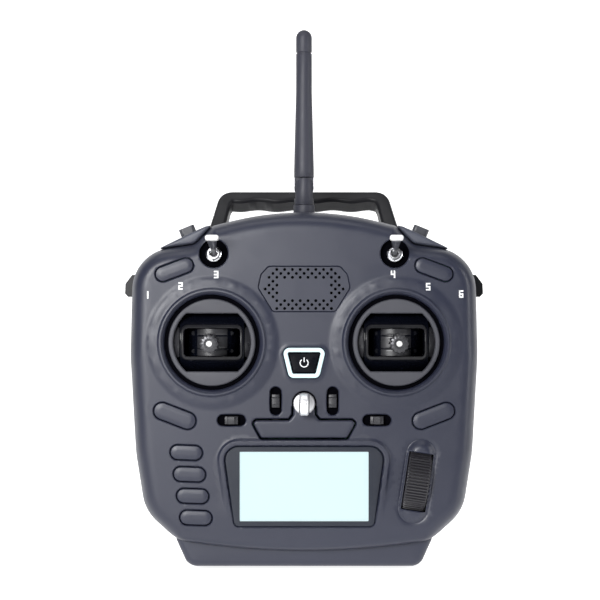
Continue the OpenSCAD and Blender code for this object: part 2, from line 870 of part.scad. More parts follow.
module gimbal_frames() {
    front = inner_y - gimbal_y;
    floor_y = drum_r + 0.6;
    color("#1a1b1e") for (side = [-1, 1]) at_gimbal(side) difference() {
        union() {
            rod_y(gimbal_rim_r, front, front + 2);
            rod_y(gimbal_frame_r, front, floor_y + 1.5);
            for (a = gimbal_ears)
                rotate([0, a, 0]) translate([gimbal_ear_x, 0, 0]) rod_y(2.6, front, front + 2);
        }
        difference() {
            rod_y(gimbal_frame_r - 1.5, front + 2, floor_y);
            for (end = [-1, 1]) scale_x(end)
                box(drum_half_l + 0.7, gimbal_frame_r, -6, floor_y + cut, -5, 5);
        }
        rod_y(18.6, front - cut, front + 2.1);
        rod_x(yoke_pin_r + pin_gap, -20.5, 20.5);
        for (a = gimbal_ears)
            rotate([0, a, 0]) translate([gimbal_ear_x, 0, 0]) rod_y(1, front - cut, front + 3);
    }
}

module gimbal_bezels() {
    front = inner_y - gimbal_y;
    color("#5b5e63") for (side = [-1, 1]) at_gimbal(side) difference() {
        union() {
            rod_y(gimbal_hole_r - 0.2, front - 1, front);
            rod_y(18.8, front - wall - 0.2, front - 0.9);
        }
        along_y(front - 5, front + cut) intersection() {
            circle(r = 16.9);
            square([40, 25.4], center = true);
        }
    }
}

module gimbal_screws() {
    front = inner_y - gimbal_y;
    color("#44474c") for (side = [-1, 1], a = gimbal_ears)
        at_gimbal(side) rotate([0, a, 0]) translate([gimbal_ear_x, 0, 0]) {
            rod_y(0.9, front - 1.7, front + 2.1);
            rod_y(1.8, front + 2, front + 3.2);
        }
}

// Drum that tilts with the vertical throw, slotted for the sideways throw
module yoke(side) {
    color("#232427") at_gimbal(side) difference() {
        union() {
            rod_x(drum_r, -drum_half_l, drum_half_l);
            rod_x(yoke_pin_r, -19.5, 19.5);
        }
        box(-slot_half_x, slot_half_x, -20, 20, -slot_half_z, slot_half_z);
        translate([0, 0, -10.5]) cylinder(r = stick_pin_r + pin_gap, h = 21);
    }
}

module yoke_left() {
    yoke(-1);
}

module yoke_right() {
    yoke(1);
}

// Block in the drum, with its pins, the four screws of its cover and the shaft
module stick(side) {
    color("#101113") at_gimbal(side) {
        translate([0, 0, -block_half_h]) cylinder(r = block_r, h = 2 * block_half_h);
        translate([0, 0, -9.8]) cylinder(r = stick_pin_r, h = 19.6);
        rod_y(shaft_r, -stick_l + 3, -5);
        for (x = [-8.3, 8.3], z = [-3.9, 3.9]) translate([x, 0, z]) rod_y(0.9, -8.3, -6);
    }
}

module stick_left() {
    stick(-1);
}

module stick_right() {
    stick(1);
}

module stick_end(side) {
    color("#b3b6ba") at_gimbal(side) difference() {
        rod_y(stick_end_r, -stick_l, -stick_l + 13);
        rod_y(shaft_r + pin_gap, -stick_l + 2.8, -stick_l + 14);
        rod_y(1.5, -stick_l - cut, -stick_l + 1);
    }
}

module stick_end_left() {
    stick_end(-1);
}

module stick_end_right() {
    stick_end(1);
}

// Housing on the back of the face, with a pocket for the foot of its trim
module trim_switch_bodies() {
    color("#303237") for (side = [-1, 1], upright = [true, false]) difference() {
        along_y(inner_y, inner_y + 6) trim_shape(side, upright, 17, 9);
        along_y(inner_y - cut, inner_y + 2) trim_shape(side, upright, 14.8, 7.2);
    }
}

module trim(side, upright) {
    color("#26282b") {
        along_y(face_y - 1.4, inner_y + gap + 0.1) trim_shape(side, upright, trim_knob_l, trim_knob_w);
        along_y(inner_y + gap, inner_y + gap + 1.3) trim_shape(side, upright, 11.6, 6.6);
    }
}

module trim_left_vertical() {
    trim(-1, true);
}

module trim_left_horizontal() {
    trim(-1, false);
}

module trim_right_vertical() {
    trim(1, true);
}

module trim_right_horizontal() {
    trim(1, false);
}

module side_button(side) {
    color("#2a2c30") push_button(side * side_button_x, side_button_z, key_board_y) {
        side_button_shape(side);
        side_button_shape(side, flange);
    }
}

module page_button(side) {
    color("#2a2c30") push_button(side * page_button_x, page_button_z, board_y) {
        page_button_shape(side);
        page_button_shape(side, flange);
    }
}

module menu_button(i) {
    color("#2a2c30")
        push_button(-menu_button_x + menu_lean * i, menu_button_z - menu_pitch * i, board_y) {
            menu_button_shape(i);
            menu_button_shape(i, flange);
        }
}

module button_a() {
    side_button(-1);
}

module button_d() {
    side_button(1);
}

module button_page_left() {
    page_button(-1);
}

module button_page_right() {
    page_button(1);
}

module menu_button_1() {
    menu_button(0);
}

module menu_button_2() {
    menu_button(1);
}

module menu_button_3() {
    menu_button(2);
}

module menu_button_4() {
    menu_button(3);
}

module slider_pots() {
    color("#4a4d52") for (side = [-1, 1]) translate([side * slider_x, 0, slider_z]) difference() {
        rod_y(pot_r, pot_y, pot_y + pot_l);
        rod_y(axle_r + pin_gap, pot_y - cut, pot_y + 5);
    }
}

// Lever that swings on its potentiometer, with a fin outside the side wall
module slider_lever(side) {
    r = slider_reach;
    fin = [[r - 4.5, -4.9], [r - 1, -4.9], [r + 0.4, -3.4], [r + 0.2, 1], [r - 2.8, 5], [r - 4.5, 5]];
    color("#1c1d20") translate([side * slider_x, 0, slider_z]) scale_x(side) {
        rod_y(4, slider_y - 1.8, pot_y - gap);
        rod_y(axle_r, pot_y - gap - 0.1, pot_y + 4.8);
        along_y(slider_y - 1.8, slider_y + 1.8) {
            translate([0, -3]) square([r - 4.4, 6]);
            polygon(fin);
        }
    }
}

module slider_lever_left() {
    slider_lever(-1);
}

module slider_lever_right() {
    slider_lever(1);
}

// Carrier of the scroll wheel, which slides back when the wheel is pressed
module wheel_bracket() {
    arm_x = wheel_w / 2 + 0.4;
    color("#3a3d42") at_wheel() difference() {
        union() {
            both_sides() box(arm_x, arm_x + 1.8, -3, wheel_r + 0.5, -4, 4);
            box(-arm_x - 1.8, arm_x + 1.8, wheel_r + bracket_gap, wheel_r + bracket_gap + 0.8, -15, 15);
        }
        rod_x(axle_r + pin_gap, -12, 12);
    }
}

module scroll_wheel() {
    teeth = 44;
    points = [for (i = [0:2 * teeth - 1])
        let (r = i % 2 == 0 ? wheel_r : wheel_r - 0.5, a = (i + 0.5) * 180 / teeth)
        r * [cos(a), sin(a)]];
    color("#1b1c1e") at_wheel() {
        translate([-wheel_w / 2, 0, 0]) rotate([0, 90, 0]) linear_extrude(wheel_w) polygon(points);
        rod_x(axle_r, -wheel_w / 2 - 2.1, wheel_w / 2 + 2.1);
    }
}

module antenna_base() {
    color("#1d1e21") translate([0, antenna_y, 0]) difference() {
        union() {
            translate([0, 0, collar_z]) cylinder(r = 4.8, h = knuckle_z - collar_z - 0.2);
            translate([0, 0, body_h - 10]) cylinder(r = 3.2, h = 10);
            translate([0, 0, body_h - 8.2]) cylinder(r = 5.2, h = 3.6, $fn = 6);
        }
        translate([0, 0, collar_z - 2]) cylinder(r = 1.8 + pin_gap, h = 12);
    }
}

// Swivels in its base and carries the pin that the whip folds on
module antenna_knuckle() {
    foot = knuckle_z - fold_z;
    color("#232528") translate([0, antenna_y, fold_z]) {
        difference() {
            intersection() {
                translate([0, 0, foot]) cylinder(r = knuckle_r, h = 20);
                union() {
                    rod_y(knuckle_r, -10, 10);
                    box(-10, 10, -10, 10, foot, 0);
                }
            }
            box(-10, 10, -tongue_half - 0.15, tongue_half + 0.15, -knuckle_r - 0.4, 10);
        }
        rod_y(fold_pin_r, -3.4, 3.4);
        translate([0, 0, foot - 6]) cylinder(r = 1.8, h = 6.1);
    }
}

module antenna_whip() {
    l = whip_l;
    tip = whip_tip_r;
    round = [for (a = [0:15:90]) [tip * cos(a), l - tip + tip * sin(a)]];
    profile = concat(
        [[0, 0], [whip_r, 0], [whip_r, l * 0.05], [tip, l * 0.58], [tip, l - 10.9],
        [tip - 0.4, l - 10.7], [tip - 0.4, l - 10.3], [tip, l - 10.1]],
        [for (p = round) if (p.x > 0.01) p], [[0, l]]
    );
    color("#1b1c1f") translate([0, antenna_y, fold_z]) difference() {
        union() {
            rod_y(knuckle_r, -tongue_half, tongue_half);
            box(-knuckle_r + 0.1, knuckle_r - 0.1, -tongue_half, tongue_half, 0, whip_z - fold_z + 0.1);
            translate([0, 0, whip_z - fold_z]) rotate_extrude() polygon(profile);
        }
        rod_y(fold_pin_r + pin_gap, -10, 10);
    }
}

// Stadium standing along Z
module usb_shape(l, w, h) {
    linear_extrude(h) pill(l, w);
}

module usb_port() {
    color("#a6a9ae") translate([-20, antenna_y, body_h - 11]) difference() {
        usb_shape(11.8, 4.3, 8);
        translate([0, 0, 1]) usb_shape(9.2, 3, 8);
    }
    color("#202225") translate([-20, antenna_y, body_h - 10.1])
        linear_extrude(6) square([6.6, 0.7], center = true);
}

module trainer_jack() {
    color("#2b2d31") translate([20, antenna_y, body_h - 15.5]) difference() {
        cylinder(r = 3.1, h = 12.6);
        translate([0, 0, 1]) cylinder(r = 1.8, h = 12);
    }
}

module module_connector() {
    color("#151618") box(-8, 8, bay_floor_y, bay_floor_y + 3, bay_z0 + 14, bay_z0 + 18);
    color("#d8c27a") for (i = [-2:2]) translate([i * 2.54, 0, bay_z0 + 16])
        rod_y(0.35, bay_floor_y + 2.9, bay_floor_y + 8);
}

module battery_cells() {
    color("#2f6f9e") for (z = [battery_z0 + 0.4 + cell_r, battery_z1 - 0.4 - cell_r])
        translate([0, battery_floor_y + 0.3 + cell_r, z]) {
            rod_x(cell_r, -cell_l / 2, cell_l / 2);
            rod_x(3, cell_l / 2 - 0.1, cell_l / 2 + 1.2);
        }
}

module battery_door() {
    color("#222428") {
        box(
            -battery_x + 0.3, battery_x - 0.3, block_depth - lid_t, block_depth,
            door_hinge_z, battery_z1 - 0.3
        );
        translate([0, door_hinge_y, door_hinge_z]) {
            rod_x(door_hinge_r, -battery_x + 0.3, battery_x - 0.3);
            rod_x(door_pin_r, -battery_x - 1.4, battery_x + 1.4);
        }
    }
}

module module_cover() {
    color("#222428") {
        box(-bay_x + 0.3, bay_x - 0.3, block_depth - 2.5, block_depth, bay_z0 + 0.3, bay_z1 - 0.3);
        for (side = [-1, 1]) translate([side * (bay_x - 3), 0, bay_z0 + 6])
            rod_y(1.2, bay_floor_y + 0.3, block_depth - 2.4);
        for (side = [-1, 1]) translate([side * (bay_x - 3), 0, bay_z1 - 6])
            rod_y(1.2, bay_floor_y + 0.3, block_depth - 2.4);
    }
}

front_shell();
rear_shell();
case_screws();
handle();
handle_screws();
rubber_grips();
shoulder_panels();
speaker_grille();
speaker();
screen_lens();
lcd_module();
label_plate();
strap_hook();
power_light_ring();
circuit_boards();
board_screws();
toggle_bodies();
toggle_nuts();
gimbal_frames();
gimbal_bezels();
gimbal_screws();
tact_switches();
trim_switch_bodies();
antenna_base();
usb_port();
trainer_jack();
module_connector();
battery_cells();
slider_pots();
wheel_bracket();
antenna_knuckle();
antenna_whip();
toggle_lever_b();
toggle_lever_c();
toggle_lever_e();
toggle_lever_f();
button_a();
button_d();
button_page_left();
button_page_right();
menu_button_1();
menu_button_2();
menu_button_3();
menu_button_4();
power_button();
trim_left_vertical();
trim_left_horizontal();
trim_right_vertical();
trim_right_horizontal();
slider_lever_left();
slider_lever_right();
scroll_wheel();
yoke_left();
yoke_right();
stick_left();
stick_right();
stick_end_left();
stick_end_right();
battery_door();
module_cover();
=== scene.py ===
"""Looks of a hand-held radio control transmitter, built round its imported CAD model."""
import json
import math

import bmesh
import bpy
import numpy as np
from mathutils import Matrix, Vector
from mathutils.geometry import delaunay_2d_cdt


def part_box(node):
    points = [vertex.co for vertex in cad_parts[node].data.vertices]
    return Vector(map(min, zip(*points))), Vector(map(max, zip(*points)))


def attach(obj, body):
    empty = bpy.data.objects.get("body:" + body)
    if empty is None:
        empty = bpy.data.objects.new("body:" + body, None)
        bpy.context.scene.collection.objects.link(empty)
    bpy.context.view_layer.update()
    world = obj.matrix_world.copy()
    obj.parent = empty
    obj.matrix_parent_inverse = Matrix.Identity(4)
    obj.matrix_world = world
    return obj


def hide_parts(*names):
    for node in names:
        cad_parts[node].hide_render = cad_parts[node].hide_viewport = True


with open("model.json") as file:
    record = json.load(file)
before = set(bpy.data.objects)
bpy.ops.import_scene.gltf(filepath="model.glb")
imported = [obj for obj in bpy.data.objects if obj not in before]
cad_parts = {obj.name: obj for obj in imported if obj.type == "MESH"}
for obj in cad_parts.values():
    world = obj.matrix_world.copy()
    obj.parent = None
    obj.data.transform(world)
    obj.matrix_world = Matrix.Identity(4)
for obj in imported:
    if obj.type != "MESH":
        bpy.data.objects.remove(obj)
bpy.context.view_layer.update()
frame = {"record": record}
MM = 0.001


# ---------------------------------------------------------------- places, in millimetres

def box(node):
    """Lowest and highest corner of a CAD node, in millimetres."""
    low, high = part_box(node)
    return np.array(low) / MM, np.array(high) / MM


def middle(node):
    low, high = box(node)
    return (low + high) / 2


def pivot(joint_name):
    """Place of a hinge, in millimetres."""
    joint = next(j for j in frame["record"]["behaviour"]["joints"] if j["name"] == joint_name)
    return np.array(joint["pos_m"]) / MM


HALF_W, SEAM_Y, CASE_TOP = box("front_shell")[1]
FACE_Y = box("screen_lens")[0][1]
BACK_Y = box("rubber_grips")[0][1]
BLOCK_Y = box("rear_shell")[1][1]
SHOULDER_X = HALF_W - 36.5
BELLY_X, BELLY_Z, BELLY_DROP = HALF_W - 19.5, 14.2, 9
EDGE_POWER = 2.4
REAR_REACH = 8.2
LID_GAP = 0.3

BUTTON_TILT = {"button_a": 20.5, "button_d": -20.5, "button_page_left": -21, "button_page_right": 21}
BUTTON_SIZE = {"button_a": (17, 6.3), "button_d": (17, 6.3),
               "button_page_left": (19, 7.2), "button_page_right": (19, 7.2)}
MENU_SIZE = (13.8, 6.2)
MENU_TILT = -2
WHEEL_TILT = 8.6
for index in range(1, 5):
    BUTTON_TILT[f"menu_button_{index}"] = MENU_TILT
    BUTTON_SIZE[f"menu_button_{index}"] = MENU_SIZE

GIMBALS = {"left": pivot("gimbal_left_tilt"), "right": pivot("gimbal_right_tilt")}
GIMBAL_HOLE_R = 21.9
DISPLAY_SIZE = (56.2, 30.3)
TOGGLES = {"b": pivot("toggle_b_throw"), "c": pivot("toggle_c_throw")}
RECESS_R = 6.3
NUT_R = 3.4
TOGGLE_TILT, TOGGLE_UP, TOGGLE_L, CAP_L = 10, 13, 17, 2
HANDLE_LEAN, HANDLE_L, HANDLE_T = 38, 41, 9
SHOULDER_LEAN = 22
HOOK_EYE_Y = -30.4
PIN_REACH = 1.7
FOOT_WIDTH, FOOT_TOP, FOOT_DEPTH = 94, 18.2, 36
CAMERA_PLACE = (-1.8, -800, 119.2)
FOCAL_LENGTH = 106.9
NUMERAL_HEIGHT = 3.3


# ---------------------------------------------------------------- flat outlines, as arrays of (x, z)

def turned(points, degrees, centre=(0, 0)):
    a = math.radians(degrees)
    spin = np.array([[math.cos(a), math.sin(a)], [-math.sin(a), math.cos(a)]])
    return np.asarray(points, float) @ spin + np.asarray(centre, float)


def circle(centre, radius, count=72):
    a = np.linspace(0, 2 * math.pi, count, endpoint=False)
    return np.c_[centre[0] + radius * np.cos(a), centre[1] + radius * np.sin(a)]


def rounded(corners, fineness=6):
    """Closed outline, anticlockwise, from corners (x, z, radius), with an arc at each."""
    p = np.array([c[:2] for c in corners], float)
    out = []
    for i, (_, _, r) in enumerate(corners):
        v, before, after = p[i], p[i - 1], p[(i + 1) % len(p)]
        d, e = v - before, after - v
        bend = math.atan2(d[0] * e[1] - d[1] * e[0], d @ e)
        u = d / np.linalg.norm(d)
        side = math.copysign(1, bend)
        n = side * np.array([-u[1], u[0]])
        centre = v - r * math.tan(abs(bend) / 2) * u + r * n
        start = math.atan2(-n[1], -n[0])
        steps = max(2, math.ceil(abs(bend) * r / 1.2), math.ceil(math.degrees(abs(bend)) / fineness))
        for k in range(steps + 1):
            a = start + bend * k / steps
            out.append(centre + r * np.array([math.cos(a), math.sin(a)]))
    return np.array(out)


def mirrored(corners):
    return [(-x, z, r) for x, z, r in reversed(corners)]


def symmetric(right, fineness=6):
    """Rounded outline from the corners of its right side, from the bottom up."""
    return rounded(right + mirrored(right), fineness)


def rectangle(half_w, half_h, radius, fineness=6):
    """Outline of a rectangle with rounded corners, round the origin."""
    corners = [(-half_w, -half_h), (half_w, -half_h), (half_w, half_h), (-half_w, half_h)]
    return rounded([(x, z, radius) for x, z in corners], fineness)


def pill(size, tilt=0, centre=(0, 0), grow=0):
    """Stadium outline of (length, width), turned by tilt degrees."""
    r = size[1] / 2 + grow
    half = (size[0] - size[1]) / 2
    a = np.linspace(-90, 90, 13)
    right = [(half + r * math.cos(math.radians(t)), r * math.sin(math.radians(t))) for t in a]
    left = [(-x, -z) for x, z in right]
    return turned(right + left, tilt, centre)


def resampled(points, pitch):
    """The closed outline with long stretches cut to about a pitch."""
    out = []
    for a, b in zip(points, np.roll(points, -1, axis=0)):
        n = max(1, round(float(np.linalg.norm(b - a)) / pitch))
        out += [a + (b - a) * k / n for k in range(n)]
    return np.array(out)


def inside(points, outline):
    """Which points lie inside the closed outline."""
    x, z = points[:, 0][:, None], points[:, 1][:, None]
    a, b = outline, np.roll(outline, -1, axis=0)
    crosses = (a[:, 1] > z) != (b[:, 1] > z)
    slope = np.where(b[:, 1] == a[:, 1], 1e-9, b[:, 1] - a[:, 1])
    at = a[:, 0] + (z - a[:, 1]) * (b[:, 0] - a[:, 0]) / slope
    return (crosses & (x < at)).sum(axis=1) % 2 == 1


def distance(points, outline):
    """Distance of each point to the closed outline."""
    a, b = outline, np.roll(outline, -1, axis=0)
    ab = b - a
    length = np.maximum((ab ** 2).sum(axis=1), 1e-12)
    best = np.full(len(points), 1e9)
    for start in range(0, len(points), 4000):
        p = points[start:start + 4000][:, None, :]
        t = np.clip(((p - a) * ab).sum(axis=2) / length, 0, 1)
        near = a + t[..., None] * ab
        best[start:start + 4000] = np.sqrt(((p - near) ** 2).sum(axis=2)).min(axis=1)
    return best


def shrunk(outline, amount):
    """The outline moved inwards (or outwards for a negative amount) along its normals."""
    before, after = np.roll(outline, 1, axis=0), np.roll(outline, -1, axis=0)
    u = outline - before
    w = after - outline
    u /= np.maximum(np.linalg.norm(u, axis=1), 1e-9)[:, None]
    w /= np.maximum(np.linalg.norm(w, axis=1), 1e-9)[:, None]
    n = np.c_[-u[:, 1] - w[:, 1], u[:, 0] + w[:, 0]]
    n /= np.maximum(np.linalg.norm(n, axis=1), 1e-9)[:, None]
    return outline + n * amount


def level(y):
    """Field of a flat sheet at depth y."""
    return lambda points: np.full(len(points), y)


def smooth_step(x, low, high):
    t = np.clip((np.asarray(x, float) - low) / (high - low), 0, 1)
    return t * t * (3 - 2 * t)


# ---------------------------------------------------------------- meshes

# Distance between the rows of a triangular grid, as a share of its pitch, and the least distances of
# its points from an edge and from a guide, in millimetres.
ROW_STEP = 0.866
EDGE_GAP, GUIDE_GAP = 0.2, 0.7
# Distances from an edge at which a thin piece gets its finer points.
RIM_RINGS = (0.15, 0.4, 0.7)


def new_object(name, verts, faces, material, body="case", sharp=38, walls=(), dark=None):
    """Object from points in millimetres. Edges that bend by more than sharp degrees stay crisp, and
    the faces numbered in walls take the material dark."""
    mesh = bpy.data.meshes.new(name)
    mesh.from_pydata([tuple(float(c) * MM for c in v) for v in verts], [], [tuple(f) for f in faces])
    for index in walls:
        mesh.polygons[index].material_index = 1
    bm = bmesh.new()
    bm.from_mesh(mesh)
    bmesh.ops.remove_doubles(bm, verts=bm.verts, dist=1e-6)
    bmesh.ops.recalc_face_normals(bm, faces=bm.faces)
    crisp(bm, sharp)
    bm.to_mesh(mesh)
    bm.free()
    obj = bpy.data.objects.new(name, mesh)
    bpy.context.scene.collection.objects.link(obj)
    obj.data.materials.append(material)
    if walls:
        obj.data.materials.append(dark)
    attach(obj, body)
    return obj


def band(first, second, count):
    """Faces between two closed rings of count points, from the number of each ring's first point."""
    return [(first + k, first + (k + 1) % count, second + (k + 1) % count, second + k) for k in range(count)]


def tube(rings, count):
    """Faces of a stack of closed rings."""
    return [f for i in range(rings - 1) for f in band(i * count, (i + 1) * count, count)]


def hoop(centre, profile, count):
    """Points and faces of a profile of (radius, y) turned about the line along Y through centre."""
    verts = [(x, y, z) for radius, y in profile for x, z in circle((centre[0], centre[2]), radius, count)]
    return verts, tube(len(profile), count)


def crisp(bm, sharp):
    limit = math.radians(sharp)
    for polygon in bm.faces:
        polygon.smooth = True
    for edge in bm.edges:
        edge.smooth = len(edge.link_faces) == 2 and edge.calc_face_angle(0) < limit


def triangulated(outline, holes, pitch, rings, edge_rings, guides=()):
    """Points and triangles that fill an outline round its holes, finer beside every edge and guide."""
    points = []
    edges = []
    for loop in [outline] + list(holes):
        start, n = len(points), len(loop)
        points += list(loop)
        edges += [(start + k, start + (k + 1) % n) for k in range(n)]
    extra = [shrunk(outline, r) for r in edge_rings]
    for hole in holes:
        extra += [shrunk(hole, -r) for r in rings]
    low, high = outline.min(axis=0), outline.max(axis=0)
    grid = []
    for row in range(int((high[1] - low[1]) / (pitch * ROW_STEP)) + 1):
        z = low[1] + row * pitch * ROW_STEP
        xs = np.arange(low[0] + (row % 2) * pitch / 2, high[0], pitch)
        grid.append(np.c_[xs, np.full(len(xs), z)])
    grid = np.concatenate(grid)
    clear = distance(grid, outline) > edge_rings[-1] + pitch * 0.5
    for hole in holes:
        clear &= (distance(grid, hole) > rings[-1] + pitch * 0.4) & ~inside(grid, hole)
    for guide in guides:
        clear &= distance(grid, guide) > GUIDE_GAP
    extra += list(guides)
    extra.append(grid[clear])
    cloud = np.concatenate(extra)
    keep = inside(cloud, outline) & (distance(cloud, outline) > EDGE_GAP)
    for hole in holes:
        keep &= ~inside(cloud, hole) & (distance(cloud, hole) > EDGE_GAP)
    points = np.array(points + list(cloud[keep]))
    result = delaunay_2d_cdt([Vector(p) for p in points], edges, [], 0, 1e-4)
    flat = np.array([tuple(v) for v in result[0]])
    faces = np.array([f for f in result[2] if len(f) == 3])
    middle_points = flat[faces].mean(axis=1)
    good = inside(middle_points, outline)
    for hole in holes:
        good &= ~inside(middle_points, hole)
    return flat, faces[good]


def skin(name, outline, holes, field, material, body="case", pitch=3.0, rings=(0.35, 1.0),
         edge_rings=(0.5,), depth=2.5, rim=None, dark=None, guides=()):
    """Curved sheet over an outline, with a wall round every hole and round its rim.

    field(points) gives y for points (x, z). Hole walls go in by depth and the rim's wall reaches
    the plane rim, or goes in by depth too. Walls take the material dark where one is given."""
    flat, faces = triangulated(outline, holes, pitch, rings, edge_rings, guides)
    y = field(flat)
    verts = list(np.c_[flat[:, 0], y, flat[:, 1]])
    faces = [tuple(f) for f in faces]
    inward = 1 if rim is None else math.copysign(1, rim - float(np.median(y)))
    walls = set()
    for index, loop in enumerate([outline] + list(holes)):
        top = field(loop)
        low = np.full(len(loop), rim) if index == 0 and rim is not None else top + inward * depth
        start, n = len(verts), len(loop)
        verts += [(p[0], t, p[1]) for p, t in zip(loop, top)]
        verts += [(p[0], t, p[1]) for p, t in zip(loop, low)]
        if dark and (index or rim is None):
            walls |= set(range(len(faces), len(faces) + n))
        faces += band(start, start + n, n)
    return new_object(name, verts, faces, material, body, walls=walls, dark=dark)


def slab(name, outline, holes, thickness, rounding, place, material, body="case", pitch=3.0):
    """Plate over an outline in (x, z), with rounded edges front and back.

    place(points) turns its own (x, y, z), with y from -thickness/2 to thickness/2, into millimetres
    of the scene."""
    rings = tuple(rounding * f for f in (0.12, 0.35, 0.65, 1.0))
    flat, faces = triangulated(outline, holes, pitch, rings, rings)
    loops = [outline] + list(holes)
    d = np.min([distance(flat, loop) for loop in loops], axis=0)
    half = thickness / 2 - edge_drop(d, rounding, rounding, 2.0)
    verts = list(np.c_[flat[:, 0], -half, flat[:, 1]]) + list(np.c_[flat[:, 0], half, flat[:, 1]])
    count = len(flat)
    faces = [tuple(f) for f in faces] + [tuple(k + count for k in reversed(f)) for f in faces]
    edge = thickness / 2 - rounding
    for loop in loops:
        start, n = len(verts), len(loop)
        verts += [(p[0], -edge, p[1]) for p in loop] + [(p[0], edge, p[1]) for p in loop]
        faces += band(start, start + n, n)
    return new_object(name, place(np.array(verts, float)), faces, material, body)


def lathe(profile, count=48):
    """Verts and faces of a profile of (radius, height) turned about +Z."""
    verts = [(x, y, h) for r, h in profile for x, y in circle((0, 0), r, count)]
    return verts, tube(len(profile), count) + caps(len(profile), count)


def caps(rings, count):
    """The two end faces of a stack of closed rings."""
    return [tuple(range(count - 1, -1, -1)), tuple((rings - 1) * count + k for k in range(count))]


def aimed(verts, place, axis):
    """Points moved so that +Z lies along axis and the origin is at place, in millimetres."""
    turn = Vector((0, 0, 1)).rotation_difference(Vector(axis))
    return [tuple(turn @ Vector(v) + Vector(place)) for v in verts]


# ---------------------------------------------------------------- materials

def material(name, colour, roughness=0.5, grain=0.0, grain_size=0.25, variation=0.06, metal=0.0,
             coat=0.0, patches=18.0, glow=None, specular=0.5):
    """Moulded or plated surface: soft colour variation, a fine grain in relief and uneven gloss."""
    mat = bpy.data.materials.new(name)
    mat.use_nodes = True
    nodes, links = mat.node_tree.nodes, mat.node_tree.links
    shader = nodes["Principled BSDF"]
    shader.inputs["Metallic"].default_value = metal
    shader.inputs["Coat Weight"].default_value = coat
    shader.inputs["Coat Roughness"].default_value = 0.08
    shader.inputs["Specular IOR Level"].default_value = specular
    coords = nodes.new("ShaderNodeTexCoord").outputs["Object"]
    cloud = noise(nodes, links, coords, patches, 3)
    low = [c * (1 - variation) for c in colour] + [1]
    high = [min(1, c * (1 + variation)) for c in colour] + [1]
    links.new(ramp(nodes, links, cloud, low, high), shader.inputs["Base Color"])
    uneven = noise(nodes, links, coords, patches * 6, 4)
    spread = 0.12 * roughness
    links.new(span(nodes, links, uneven, roughness - spread, roughness + spread), shader.inputs["Roughness"])
    if grain:
        fine = noise(nodes, links, coords, 1 / (grain_size * MM), 2)
        bump = nodes.new("ShaderNodeBump")
        bump.inputs["Strength"].default_value = grain
        bump.inputs["Distance"].default_value = 0.05 * MM
        links.new(fine, bump.inputs["Height"])
        links.new(bump.outputs["Normal"], shader.inputs["Normal"])
    if glow:
        shader.inputs["Emission Color"].default_value = (*glow[0], 1)
        shader.inputs["Emission Strength"].default_value = glow[1]
    return mat


def noise(nodes, links, coords, scale, detail):
    node = nodes.new("ShaderNodeTexNoise")
    node.inputs["Scale"].default_value = scale
    node.inputs["Detail"].default_value = detail
    links.new(coords, node.inputs["Vector"])
    return node.outputs["Fac"]


def ramp(nodes, links, value, low, high):
    node = nodes.new("ShaderNodeValToRGB")
    node.color_ramp.elements[0].position = 0.3
    node.color_ramp.elements[0].color = low
    node.color_ramp.elements[1].position = 0.7
    node.color_ramp.elements[1].color = high
    links.new(value, node.inputs["Fac"])
    return node.outputs["Color"]


def span(nodes, links, value, low, high):
    node = nodes.new("ShaderNodeMapRange")
    node.inputs["From Min"].default_value = 0.3
    node.inputs["From Max"].default_value = 0.7
    node.inputs["To Min"].default_value = low
    node.inputs["To Max"].default_value = high
    links.new(value, node.inputs["Value"])
    return node.outputs["Result"]


SHELL = material("shell_plastic", (0.017, 0.0195, 0.036), 0.42, grain=0.35, grain_size=0.3)
LENS_BLACK = material("lens_border", (0.013, 0.016, 0.026), 0.34, grain=0.1, variation=0.05, specular=0.4)
DISPLAY = material("lit_display", (0.16, 0.20, 0.21), 0.35, variation=0.02, specular=0.2,
                   glow=((0.78, 0.98, 1.0), 0.66), patches=45)
BLACK = material("black_plastic", (0.010, 0.010, 0.012), 0.42, grain=0.3, grain_size=0.35, specular=0.25)
TRIM_GREY = material("trim_grey", (0.020, 0.020, 0.024), 0.42, grain=0.25)
WHEEL_GREY = material("wheel_grey", (0.017, 0.016, 0.020), 0.42, grain=0.2)
KNOB = material("toggle_knob", (0.042, 0.044, 0.054), 0.42, grain=0.2)
SHOULDER = material("shoulder_plastic", (0.055, 0.060, 0.082), 0.45, grain=0.35, grain_size=0.3)
# Near-black painted shade: the walls of gaps and holes, the groove round each gimbal, and the floors of
# wells, cups and ports.
SHADE_BLACK = material("painted_shade_black", (0.002, 0.002, 0.003), 0.6, grain=0.2, specular=0.0)
GREY = material("bezel_grey", (0.050, 0.051, 0.062), 0.48, grain=0.3, grain_size=0.3, specular=0.35)
RUBBER = material("rubber", (0.018, 0.018, 0.019), 0.72, grain=0.6, grain_size=0.5, specular=0.3)
WHIP = material("antenna_rubber", (0.034, 0.035, 0.048), 0.50, grain=0.5, grain_size=0.4, specular=0.35)
GLOSS = material("gloss_black", (0.002, 0.0025, 0.005), 0.26, variation=0.2, specular=0.12)
FRAME_GLOSS = material("frame_gloss", (0.006, 0.006, 0.008), 0.34, variation=0.2, specular=0.4)
BLOCK_GLOSS = material("block_gloss", (0.018, 0.018, 0.021), 0.30, variation=0.15, specular=0.55)
# Light grey, mostly matt, so the gimbal screws show as bright dots: partly their plated grey, partly painted
# glint.
SCREW_GLINT_GREY = material("screw_grey_painted_glint", (0.55, 0.55, 0.56), 0.4, variation=0.1, metal=0.3)
